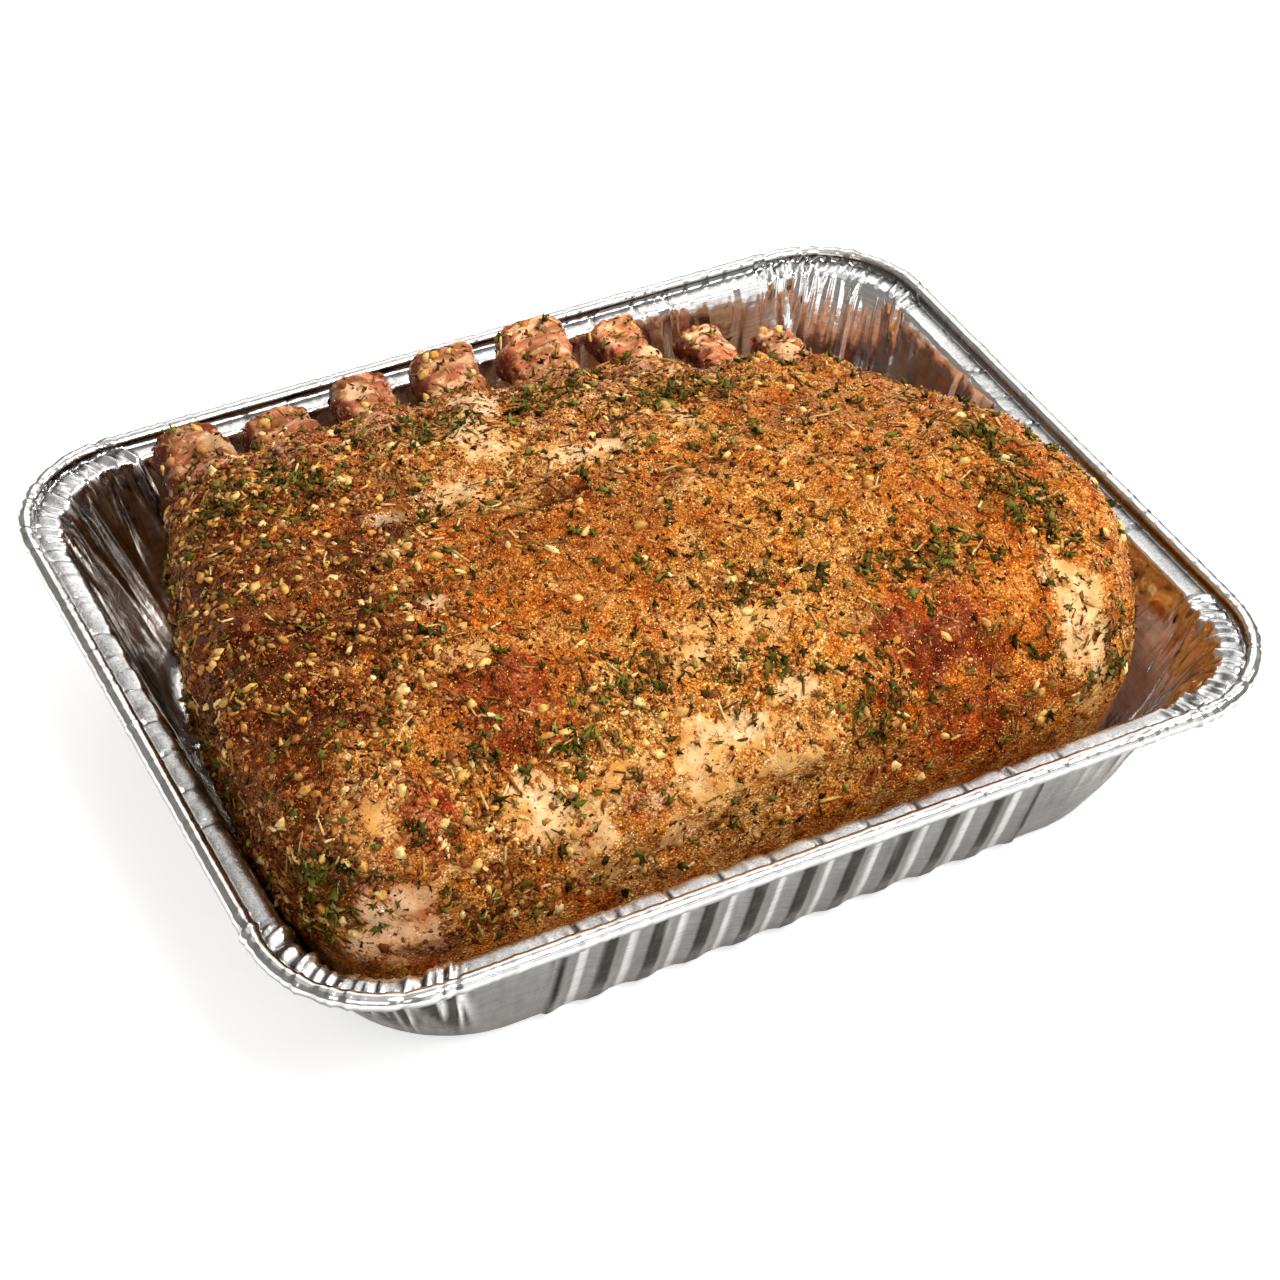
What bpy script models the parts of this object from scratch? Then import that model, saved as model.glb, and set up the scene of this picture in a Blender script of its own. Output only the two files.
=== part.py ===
"""A seasoned rack of pork: eight rib ends, loin and fat cap, in the foil tin it is roasted in.

Units are metres. The origin is the middle of the tin's base, on the surface it stands on.
+X runs along the tin's long side and the row of ribs, +Y points to the rib tips, +Z is up.
"""

import math

import bmesh
import bpy
import numpy as np
from mathutils import Matrix, Vector

# ---- driving sizes of the tin: a half-size deep steam-table tin -----------------------------
TIN_LENGTH = 0.3240
TIN_WIDTH = 0.2690
RIM_HEIGHT = 0.0612  # centre of the rolled edge
CURL_RADIUS = 0.0026
FOIL = 0.0005
RIM_CORNER = 0.0410  # outline radius at the rolled edge
MOUTH_CORNER = 0.0300  # outline radius at the top of the wall
BASE_CORNER = 0.0430  # outline radius at the foot of the wall
FLANGE = 0.0127  # rolled edge to the top of the wall
WALL_TOP = 0.0590
WALL_LEAN = 0.31  # inward run for each unit of drop
FOOT_RADIUS = 0.0110
FLUTE_PITCH = 0.0159
FLUTE_DEPTH = 0.0013
FLUTES_LONG = 10
FLUTES_SHORT = 6
CORNER_STEPS = 7

# ---- driving sizes of the rack --------------------------------------------------------------
MEAT_STATIONS = 40
MEAT_POINTS = 42
END_SQUARENESS = (7.0, 7.0)  # left end, right end
CORE_Y, CORE_Z = -0.015, 0.046  # line that the rounded ends close on
LUMP = 0.0016  # height of the hand-sized swells
CRAG = 0.0008  # height of the finger-sized crags
RIB_RIDGE = 0.0030  # how far each rib lifts the fat over it
RIB_RIDGE_HALF = 0.0085
RIBS = 8
RIB_PITCH = 0.0302
FIRST_RIB_X = -0.1000
RIB_SIDES = 10
RIB_STATIONS = 9
RIB_BURIED = 0.042  # length of bone inside the meat
SEAT_GAP = 0.0003  # between a rib and its socket, and under the meat

# Per rib, left to right: tip place along Y, top at the tip and at the meat, half sizes, slant.
RIB_TIP_Y = (0.1150, 0.1140, 0.1165, 0.1165, 0.1170, 0.1140, 0.1070, 0.1010)
RIB_TIP_TOP = (0.0745, 0.0710, 0.0740, 0.0755, 0.0770, 0.0700, 0.0615, 0.0565)
RIB_SEAT_TOP = (0.0730, 0.0730, 0.0740, 0.0745, 0.0740, 0.0690, 0.0620, 0.0570)
RIB_HALF_WIDTH = (0.0115, 0.0115, 0.0105, 0.0115, 0.0115, 0.0090, 0.0090, 0.0075)
RIB_HALF_THICK = (0.0070, 0.0070, 0.0068, 0.0070, 0.0074, 0.0068, 0.0066, 0.0058)
RIB_SLANT = (0.003, 0.003, 0.006, 0.007, 0.005, 0.001, 0.000, -0.001)
RIB_SHIFT = (0.000, 0.000, 0.000, 0.000, 0.000, 0.000, 0.000, -0.007)

GRANULES = 72
STRAWS = 34
SCATTER_SEED = 7


# ---- shared mathematics ---------------------------------------------------------------------
def through(knots, values, at):
    """Smooth curve through the knots: cubic Hermite with Catmull-Rom slopes, level past the ends."""
    knots, values = np.asarray(knots, float), np.asarray(values, float)
    slopes = np.gradient(values, knots)
    at = np.clip(at, knots[0], knots[-1])
    i = np.clip(np.searchsorted(knots, at, side="right") - 1, 0, len(knots) - 2)
    h = knots[i + 1] - knots[i]
    t = (at - knots[i]) / h
    return (
        (2 * t**3 - 3 * t**2 + 1) * values[i]
        + (t**3 - 2 * t**2 + t) * h * slopes[i]
        + (3 * t**2 - 2 * t**3) * values[i + 1]
        + (t**3 - t**2) * h * slopes[i + 1]
    )


def ease(t):
    """Smooth step: 0 up to t = 0, 1 from t = 1."""
    t = np.clip(t, 0.0, 1.0)
    return t * t * (3 - 2 * t)


def closed_curve(points, count):
    """Points evenly spaced along a closed Catmull-Rom curve through the given corners."""
    p = np.asarray(points, float)
    fine = 24
    t = np.tile(np.arange(fine) / fine, len(p))[:, None]
    a, b, c, d = (np.repeat(np.roll(p, k, axis=0), fine, axis=0) for k in (1, 0, -1, -2))
    curve = 0.5 * (2 * b + (c - a) * t + (2 * a - 5 * b + 4 * c - d) * t**2 + (3 * b - a - 3 * c + d) * t**3)
    loop = np.vstack([curve, curve[:1]])
    run = np.concatenate([[0.0], np.cumsum(np.linalg.norm(np.diff(loop, axis=0), axis=1))])
    want = np.linspace(0.0, run[-1], count, endpoint=False)
    return np.stack([np.interp(want, run, loop[:, k]) for k in range(2)], axis=1)


def swell(points, wavelength, waves, seed):
    """Smooth unevenness from -1 to 1: a sum of sine waves in random directions."""
    rng = np.random.default_rng(seed)
    total = np.zeros(len(points))
    for _ in range(waves):
        direction = rng.normal(size=3)
        direction *= 2 * math.pi / (wavelength * np.linalg.norm(direction) * rng.uniform(0.7, 1.4))
        total += np.sin(points @ direction + rng.uniform(0, 2 * math.pi))
    return total / math.sqrt(waves)


# ---- building blocks ------------------------------------------------------------------------
def material(name, colour, roughness, metallic=0.0):
    made = bpy.data.materials.new(name)
    made.use_nodes = True
    shader = made.node_tree.nodes["Principled BSDF"]
    shader.inputs["Base Color"].default_value = (*colour, 1.0)
    shader.inputs["Roughness"].default_value = roughness
    shader.inputs["Metallic"].default_value = metallic
    return made


def loft(name, rings, finish, sharp_deg=40.0):
    """A closed solid: quads between rings of equal length, and a flat face on the first and last."""
    rings = np.asarray(rings, float)
    count = rings.shape[1]
    bm = bmesh.new()
    loops = [[bm.verts.new(p) for p in ring] for ring in rings]
    for lower, upper in zip(loops[:-1], loops[1:]):
        for k in range(count):
            n = (k + 1) % count
            bm.faces.new((lower[k], lower[n], upper[n], upper[k]))
    bm.faces.new(list(reversed(loops[0])))
    bm.faces.new(loops[-1])
    bmesh.ops.recalc_face_normals(bm, faces=bm.faces)
    mesh = bpy.data.meshes.new(name)
    bm.to_mesh(mesh)
    bm.free()
    mesh.shade_smooth()
    mesh.set_sharp_from_angle(angle=math.radians(sharp_deg))
    mesh.materials.append(finish)
    made = bpy.data.objects.new(name, mesh)
    bpy.context.collection.objects.link(made)
    return made


def apply_boolean(target, operation, tools):
    """One exact Boolean of the target with a collection of tools, applied, and the tools removed."""
    group = bpy.data.collections.new(target.name + "_" + operation.lower())
    bpy.context.scene.collection.children.link(group)
    for tool in tools:
        for home in list(tool.users_collection):
            home.objects.unlink(tool)
        group.objects.link(tool)
    modifier = target.modifiers.new(operation.lower(), "BOOLEAN")
    modifier.operation = operation
    modifier.operand_type = "COLLECTION"
    modifier.collection = group
    modifier.solver = "EXACT"
    bpy.context.view_layer.objects.active = target
    bpy.ops.object.modifier_apply(modifier=modifier.name)
    for tool in tools:
        bpy.data.objects.remove(tool)
    bpy.data.collections.remove(group)


# ---- the foil tin ---------------------------------------------------------------------------
def straight_stops(half_straight, flutes):
    """Places along one side where the fluted wall bends, each with its share of the flute's depth."""
    land, crest = 0.37 * FLUTE_PITCH, 0.26 * FLUTE_PITCH
    stops = []
    for k in range(flutes):
        middle = (k - (flutes - 1) / 2) * FLUTE_PITCH
        stops += [(middle - (FLUTE_PITCH - land) / 2, 0.0), (middle - crest / 2, 1.0)]
        stops += [(middle + crest / 2, 1.0), (middle + (FLUTE_PITCH - land) / 2, 0.0)]
    assert stops[-1][0] < half_straight
    return stops


def tin_columns():
    """The tin's outline as columns: (side, place along it, flute share) or (corner, angle, 0)."""
    foot_inset = FLANGE + WALL_LEAN * (WALL_TOP - FOOT_RADIUS) + FOOT_RADIUS
    half_long = TIN_LENGTH / 2 - foot_inset - BASE_CORNER
    half_short = TIN_WIDTH / 2 - foot_inset - BASE_CORNER
    sides = (
        straight_stops(half_long, FLUTES_LONG),
        straight_stops(half_short, FLUTES_SHORT),
    )
    columns = []
    for quarter in range(4):
        columns += [("side", quarter, place, share) for place, share in sides[quarter % 2]]
        for step in range(CORNER_STEPS):
            angle = math.radians(-90 + 90 * quarter + 90 * step / (CORNER_STEPS - 1))
            columns.append(("corner", quarter, angle, 0.0))
    return columns


def tin_ring(columns, inset, height, corner, flute=0.0):
    """One level of the tin: a rounded rectangle, drawn in by inset, with the flutes pushed out."""
    half_x, half_y = TIN_LENGTH / 2 - inset, TIN_WIDTH / 2 - inset
    ring = []
    for kind, quarter, value, share in columns:
        if kind == "side":
            out = (half_y, half_x)[quarter % 2] + flute * share
            x, y = ((value, -out), (out, value), (-value, out), (-out, -value))[quarter]
        else:
            sx, sy = ((1, -1), (1, 1), (-1, 1), (-1, -1))[quarter]
            x = sx * (half_x - corner) + corner * math.cos(value)
            y = sy * (half_y - corner) + corner * math.sin(value)
        ring.append((x, y, height))
    return ring


def tin_skin(columns, offset):
    """Rings down one face of the wall, from the flange to the base. The offset is the foil's."""
    lean = math.atan(WALL_LEAN)
    foot = WALL_TOP - FOOT_RADIUS * (1 - math.sin(lean))
    wall_run = WALL_LEAN * foot
    sideways, down = offset * math.cos(lean), offset * math.sin(lean)
    steps = (
        (0.0066, RIM_HEIGHT - 0.0006 - offset, RIM_CORNER - 0.0066, 0.0),
        (0.0094, RIM_HEIGHT + 0.0014 - offset, RIM_CORNER - 0.0094, 0.0),
        (FLANGE - 0.0010 - sideways, WALL_TOP + 0.0017 - down, MOUTH_CORNER, 0.35),
        (FLANGE + 0.0006 - sideways, WALL_TOP - 0.0020 - down, MOUTH_CORNER, 1.0),
        (FLANGE + wall_run - sideways, WALL_TOP - foot - down, BASE_CORNER, 1.0),
    )
    rings = [tin_ring(columns, i, z, r, FLUTE_DEPTH * f) for i, z, r, f in steps]
    middle = math.radians(55)
    centre_inset = FLANGE + wall_run + FOOT_RADIUS * math.cos(lean)
    reach = FOOT_RADIUS + offset
    for angle, share in ((middle, 0.5), (math.radians(90), 0.0)):
        inset = centre_inset - reach * math.cos(angle)
        height = FOIL + FOOT_RADIUS - reach * math.sin(angle)
        rings.append(tin_ring(columns, inset, height, BASE_CORNER, FLUTE_DEPTH * share))
    return rings


def build_tin(finish):
    """One foil shell: base, fluted wall, flange and a rolled edge that is filled as a bead."""
    columns = tin_columns()
    inside = tin_skin(columns, 0.0)
    outside = tin_skin(columns, FOIL)
    curl = []
    for angle in (150, 75, 0, -75, -150):
        inset = CURL_RADIUS * (1 - math.cos(math.radians(angle)))
        height = RIM_HEIGHT + CURL_RADIUS * math.sin(math.radians(angle))
        curl.append(tin_ring(columns, inset, height, RIM_CORNER - inset))
    return loft("foil_tin", list(reversed(inside)) + curl + outside, finish)


# ---- the meat -------------------------------------------------------------------------------
SECTION = (  # Y and Z of the cross-section's corners, from the front round over the top
    (-0.1065, 0.044),
    (-0.1010, 0.074),
    (-0.0770, 0.092),
    (-0.0360, 0.098),
    (0.0100, 0.0945),
    (0.0540, 0.0870),
    (0.0800, 0.0790),
    (0.0945, 0.0730),
    (0.0995, 0.0660),
    (0.0910, 0.0555),
    (0.0800, 0.0430),
    (0.0580, 0.0270),
    (0.0150, 0.0030),
    (-0.0400, -0.0010),
    (-0.0820, 0.0000),
    (-0.1000, 0.0180),
)
END_KNOTS = (-0.108, -0.060, 0.000, 0.060, 0.100)
LEFT_END = (-0.1420, -0.1450, -0.1410, -0.1270, -0.1140)
RIGHT_END = (0.1280, 0.1385, 0.1325, 0.1220, 0.1110)
BACK_RIGHT_FALL = 0.0170  # how far the top falls towards the last ribs
BACK_STEPS = ((-0.070, -0.030, -0.0080), (-0.080, 0.090, 0.0050), (0.036, 0.030, 0.0080))  # start, run, depth
WALL_TUCK = 0.30  # the tin's leaning wall pushes the meat's foot in
TUCK_TOP = 0.048


def rib_axis_x(index, y):
    """Where a rib's middle line runs: ribs slant a little across the rack."""
    tip = FIRST_RIB_X + RIB_PITCH * index + RIB_SHIFT[index]
    return tip - RIB_SLANT[index] * (RIB_TIP_Y[index] - y) / 0.030


def end_profile(power, count):
    """(along, across) shares of a rounded end, evenly spaced along its superellipse quarter."""
    angle = np.linspace(0, math.pi / 2, 400)
    along = np.sin(angle) ** (2 / power)
    across = np.cos(angle) ** (2 / power)
    run = np.concatenate([[0], np.cumsum(np.hypot(np.diff(along) * 1.5, np.diff(across)))])
    want = np.linspace(0, run[-1], count)
    return np.interp(want, run, along), np.interp(want, run, across)


def meat_rings():
    """Cross-sections along X, drawn in to a small face at each end, then roughened."""
    section = closed_curve(SECTION, MEAT_POINTS)
    half = MEAT_STATIONS // 2
    left, right = (end_profile(p, half) for p in END_SQUARENESS)
    along = np.concatenate([-left[0][::-1], right[0][1:]])
    across = np.concatenate([left[1][::-1], right[1][1:]])
    across = np.maximum(across, 0.10)
    y = CORE_Y + across[:, None] * (section[:, 0] - CORE_Y)
    z = CORE_Z + across[:, None] * (section[:, 1] - CORE_Z)
    low, high = through(END_KNOTS, LEFT_END, y), through(END_KNOTS, RIGHT_END, y)
    x = (low + high) / 2 + along[:, None] * (high - low) / 2
    back = ease((y - 0.060) / 0.030)
    for start, run, depth in BACK_STEPS:
        y = y - back * depth * ease((x - start) / run)
    tuck = WALL_TUCK * np.clip(TUCK_TOP - z, 0, None)
    x -= tuck * along[:, None]
    top = ease((z - CORE_Z) / 0.030)
    z -= BACK_RIGHT_FALL * top * ease((x - 0.010) / 0.100) * ease((y + 0.040) / 0.130)
    over_ribs = top * ease((y - 0.020) / 0.060)
    for k in range(RIBS):
        z += RIB_RIDGE * over_ribs * np.exp(-(((x - rib_axis_x(k, y)) / RIB_RIDGE_HALF) ** 2))
    points = np.stack([x, y, z], axis=-1).reshape(-1, 3)
    up = ease((points[:, 2] - 0.046) / 0.020)
    points[:, 2] += up * LUMP * swell(points, 0.075, 6, 3)
    outward = points - np.stack([points[:, 0] * 0.8, np.full(len(points), CORE_Y), np.full(len(points), CORE_Z)], 1)
    outward /= np.linalg.norm(outward, axis=1)[:, None]
    points += outward * (up * CRAG * swell(points, 0.020, 8, 5))[:, None]
    points[:, 2] = np.maximum(points[:, 2], FOIL + SEAT_GAP)
    return points.reshape(x.shape + (3,))


def granule(name, place, normal, size, stretch, spin, finish):
    """One lump of dried garlic or a snip of herb, sunk a third into the meat."""
    mesh = bpy.data.meshes.new(name)
    bm = bmesh.new()
    bmesh.ops.create_icosphere(bm, subdivisions=1, radius=size / 2)
    turn = normal.to_track_quat("Z", "Y").to_matrix().to_4x4() @ Matrix.Rotation(spin, 4, "Z")
    shape = Matrix.Diagonal((stretch[0], stretch[1], stretch[2], 1.0))
    sunk = place - normal * size * stretch[2] * 0.10
    bmesh.ops.transform(bm, matrix=Matrix.Translation(sunk) @ turn @ shape, verts=bm.verts)
    bm.to_mesh(mesh)
    bm.free()
    mesh.materials.append(finish)
    made = bpy.data.objects.new(name, mesh)
    bpy.context.collection.objects.link(made)
    return made


def scatter(meat, count, spacing, rng, taken):
    """Places on the meat's upper faces, drawn by area and kept a spacing apart."""
    faces = [f for f in meat.data.polygons if f.normal.z > 0.05 and f.center.z > 0.058]
    area = np.array([f.area for f in faces])
    found = []
    while len(found) < count:
        face = faces[rng.choice(len(faces), p=area / area.sum())]
        corners = [meat.data.vertices[v].co for v in face.vertices]
        share = rng.dirichlet(np.ones(len(corners)))
        place = sum((c * s for c, s in zip(corners, share)), Vector())
        if place.y > 0.074:
            continue
        if all((place - other).length > spacing for other in taken):
            taken.append(place)
            found.append((place, face.normal.copy()))
    return found


def season(meat, finish):
    """The largest pieces of the rub, fused to the meat: garlic granules, then rosemary straws."""
    rng = np.random.default_rng(SCATTER_SEED)
    taken, pieces = [], []
    for k, (place, normal) in enumerate(scatter(meat, GRANULES, 0.0100, rng, taken)):
        size = rng.uniform(0.0038, 0.0058)
        stretch = (rng.uniform(0.85, 1.25), rng.uniform(0.75, 1.0), rng.uniform(0.6, 0.8))
        spin = rng.uniform(0, math.pi)
        pieces.append(granule(f"granule_{k}", place, normal, size, stretch, spin, finish))
    for k, (place, normal) in enumerate(scatter(meat, STRAWS, 0.0085, rng, taken)):
        size = rng.uniform(0.0040, 0.0050)
        stretch = (rng.uniform(1.5, 2.1), 0.42, 0.36)
        spin = rng.uniform(0, math.pi)
        pieces.append(granule(f"straw_{k}", place, normal, size, stretch, spin, finish))
    apply_boolean(meat, "UNION", pieces)


# ---- the ribs -------------------------------------------------------------------------------
def rib_rings(index, grow=0.0):
    """Rounded-box sections along one rib, from its sawn tip to its end inside the meat."""
    tip_y, top = RIB_TIP_Y[index], RIB_TIP_TOP[index]
    wide, thick = RIB_HALF_WIDTH[index] + grow, RIB_HALF_THICK[index] + grow
    seat_top = RIB_SEAT_TOP[index]
    buried_y = 0.088 - RIB_BURIED
    share = np.concatenate([[0.0, 0.035], np.linspace(0.12, 0.93, RIB_STATIONS - 4), [0.985, 1.0]])
    width_scale = np.interp(share, [0, 0.035, 0.12, 0.42, 0.93, 1], [0.80, 0.97, 1.0, 0.90, 0.72, 0.5])
    angle = 2 * math.pi * np.arange(RIB_SIDES) / RIB_SIDES
    box = 0.62  # superellipse power: below 1 squares the oval
    side = np.sign(np.cos(angle)) * np.abs(np.cos(angle)) ** box
    rise = np.sign(np.sin(angle)) * np.abs(np.sin(angle)) ** box
    rings = []
    for s, scale in zip(share, width_scale):
        y = (tip_y + grow) + s * (buried_y - grow - tip_y - grow)
        to_seat = min(1.0, s / 0.42)
        z = top + (seat_top - top) * to_seat - RIB_HALF_THICK[index]
        z -= 0.004 * max(0.0, s - 0.42) / 0.58
        knobby = 1.0 + 0.06 * math.sin(5.0 * s + 1.7 * index)
        x = rib_axis_x(index, y) + wide * scale * knobby * side
        rings.append(np.stack([x, np.full(RIB_SIDES, y), z + thick * scale**0.7 * rise], axis=1))
    return rings


# ---- assembly -------------------------------------------------------------------------------
def main():
    for old in list(bpy.data.objects):
        bpy.data.objects.remove(old)
    foil = material("foil", (0.80, 0.79, 0.78), 0.22, 1.0)
    rub = material("seasoned_fat", (0.46, 0.20, 0.06), 0.45)
    bone = material("rib_meat", (0.46, 0.20, 0.10), 0.40)
    build_tin(foil)
    meat = loft("seasoned_meat", meat_rings(), rub)
    season(meat, rub)
    seats = [loft(f"seat_{k}", rib_rings(k, SEAT_GAP), bone) for k in range(RIBS)]
    apply_boolean(meat, "DIFFERENCE", seats)
    for k in range(RIBS):
        loft(f"rib_{k + 1}", rib_rings(k), bone)


main()
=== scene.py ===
import math

import bpy
import numpy as np
from mathutils import Matrix


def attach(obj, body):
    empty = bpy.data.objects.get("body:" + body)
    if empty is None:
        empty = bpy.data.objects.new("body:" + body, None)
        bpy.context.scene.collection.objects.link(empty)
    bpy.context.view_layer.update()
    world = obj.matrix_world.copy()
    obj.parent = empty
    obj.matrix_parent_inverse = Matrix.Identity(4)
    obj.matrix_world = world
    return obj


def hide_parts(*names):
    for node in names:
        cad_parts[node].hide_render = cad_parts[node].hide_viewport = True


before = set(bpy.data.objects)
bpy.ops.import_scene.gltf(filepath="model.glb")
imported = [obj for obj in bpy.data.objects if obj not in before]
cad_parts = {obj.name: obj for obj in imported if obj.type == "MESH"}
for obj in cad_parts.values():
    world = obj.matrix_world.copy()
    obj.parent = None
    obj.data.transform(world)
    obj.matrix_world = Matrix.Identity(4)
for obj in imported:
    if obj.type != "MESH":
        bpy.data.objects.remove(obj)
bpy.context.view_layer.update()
MM = 0.001

# ---- The foil tin --------------------------------------------------------------------------------
# A half-size deep tin, drawn from one sheet of thin aluminium foil between two dies. The dies press
# upright flutes into the long and short walls; the spare foil at the corners gathers into loose
# pleats, and the rim is rolled over into a bead.
TIN_LENGTH, TIN_WIDTH = 324 * MM, 269 * MM
RIM_HEIGHT, CURL_RADIUS, FOIL = 61.2 * MM, 2.6 * MM, 0.5 * MM
RIM_CORNER, MOUTH_CORNER, BASE_CORNER = 41 * MM, 30 * MM, 43 * MM
FLANGE, WALL_TOP, WALL_LEAN, FOOT_RADIUS = 12.7 * MM, 59 * MM, 0.31, 11 * MM
WALL_STOP, FOOT_TOP = 3 * MM, 14 * MM  # below the wall's top its lip starts; above the foot it is straight
FLUTE_PITCH, FLUTE_DEPTH, FLUTES = 15.9 * MM, 1.3 * MM, (10, 6)
FLUTE_CREST, FLUTE_FLANK = 0.27 * FLUTE_PITCH, 0.20 * FLUTE_PITCH
SIDE_COLUMNS, CORNER_COLUMNS = (170, 110), 150  # long and short side, one corner
PLAIN_PHASE = 0.35 * FLUTE_PITCH  # where there is no flute: as far from a crest as a flank is
LIP_RADIUS, LIP_RISE, CROWN = 2.2 * MM, 1.0 * MM, 0.5 * MM
PLATFORM_INSET, PLATFORM_RUN = 2.0 * MM, 5.6 * MM  # the flange's flat part, from the wall outwards
BEAD_ANGLES = np.radians(np.linspace(160, -150, 15))
RING_OFFSETS, RING_HALF, RING_HEIGHT = (0.2 * MM, 3.9 * MM, 7.6 * MM), 0.6 * MM, 0.6 * MM
FOIL_SEED, CREASE_SLANT, CREASE_REACH = 11, 0.12, 9 * MM
WALL_GREY, CREST_TONE, LAND_TONE, FOLD_GAIN = 0.22, 0.0, 0.66, 1.8  # painted reflections outside: grey wall, dark crests, bright lands, folds lit by slope
CREST_HALF, LAND_HALF = 2.3 * MM, 1.2 * MM
# The flange's tone is painted reflection, darker at the front and brighter towards the back.
BRIGHT_TONE, FLANGE_TONE, FLANGE_BRIGHTER = 0.93, 0.56, 0.36
# Painted shade in the flange's groove.
GROOVE_INSET, GROOVE_HALF = 5.1 * MM, 0.6 * MM

lean = math.atan(WALL_LEAN)
foot_drop = WALL_TOP - FOOT_RADIUS * (1 - math.sin(lean))
foot_centre = FLANGE + WALL_LEAN * foot_drop + FOOT_RADIUS * math.cos(lean)


def smooth(t):
    """The smooth step 3t^2 - 2t^3 between 0 and 1."""
    t = np.clip(t, 0.0, 1.0)
    return t * t * (3 - 2 * t)


def ease(value, start, run):
    """The smooth step of how far a value has come from its start, as a share of its run."""
    return smooth((value - start) / run)


def bell(distance):
    """The bell curve exp(-d^2)."""
    return np.exp(-(distance**2))


def ripple(points, size, seed, octaves=1):
    """Gradient noise, about -1 to 1: random slopes stand on a cubic lattice of the given size, and
    their values are blended with 6t^5 - 15t^4 + 10t^3. Each octave halves the size and the height."""
    rng = np.random.default_rng(seed)
    slopes = rng.normal(size=(256, 3))
    slopes /= np.linalg.norm(slopes, axis=1)[:, None]
    order = rng.permutation(256)
    total, height = np.zeros(len(points)), 1.0
    for octave in range(octaves):
        q = points / size * 2**octave + 17.3 * octave
        cell = np.floor(q).astype(np.int64)
        t = q - cell
        fade = t**3 * (t * (t * 6 - 15) + 10)
        for corner in np.ndindex(2, 2, 2):
            c = np.array(corner)
            at = (cell + c) & 255
            pick = order[(order[(order[at[:, 0]] + at[:, 1]) & 255] + at[:, 2]) & 255]
            share = np.prod(np.where(c, fade, 1 - fade), axis=1)
            total += height * share * np.einsum("ij,ij->i", slopes[pick], t - c)
        height *= 0.5
    return total * 1.6


def set_down(name, data):
    """A new object that holds the data, linked into the scene."""
    thing = bpy.data.objects.new(name, data)
    bpy.context.collection.objects.link(thing)
    return thing


def skin(name, rings, material):
    """A closed surface: quads between neighbouring rings, and one face over the first and the last.
    Where the volume inside comes out negative, the faces are turned, so that all point outwards."""
    count, around = rings.shape[:2]
    index = np.arange(count * around).reshape(count, around)
    a, b = index[:-1], index[1:]
    quads = np.stack([a, np.roll(a, -1, 1), np.roll(b, -1, 1), b], -1).reshape(-1, 4)
    faces = quads.tolist() + [index[0, ::-1].tolist(), index[-1].tolist()]
    p, q, r, s = (rings.reshape(-1, 3)[quads[:, k]] for k in range(4))
    if np.einsum("ij,ij", p, np.cross(q, r) + np.cross(r, s)) < 0:
        faces = [face[::-1] for face in faces]
    mesh = bpy.data.meshes.new(name)
    mesh.from_pydata(rings.reshape(-1, 3).tolist(), [], faces)
    mesh.shade_smooth()
    mesh.materials.append(material)
    return set_down(name, mesh)


def paint(piece, name, colours):
    """Stores one colour a vertex under that name, for the material to read."""
    layer = piece.data.color_attributes.new(name, "FLOAT_COLOR", "POINT")
    rgba = np.concatenate([colours, np.ones((len(colours), 1))], 1)
    layer.data.foreach_set("color", rgba.astype(np.float32).ravel())


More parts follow.
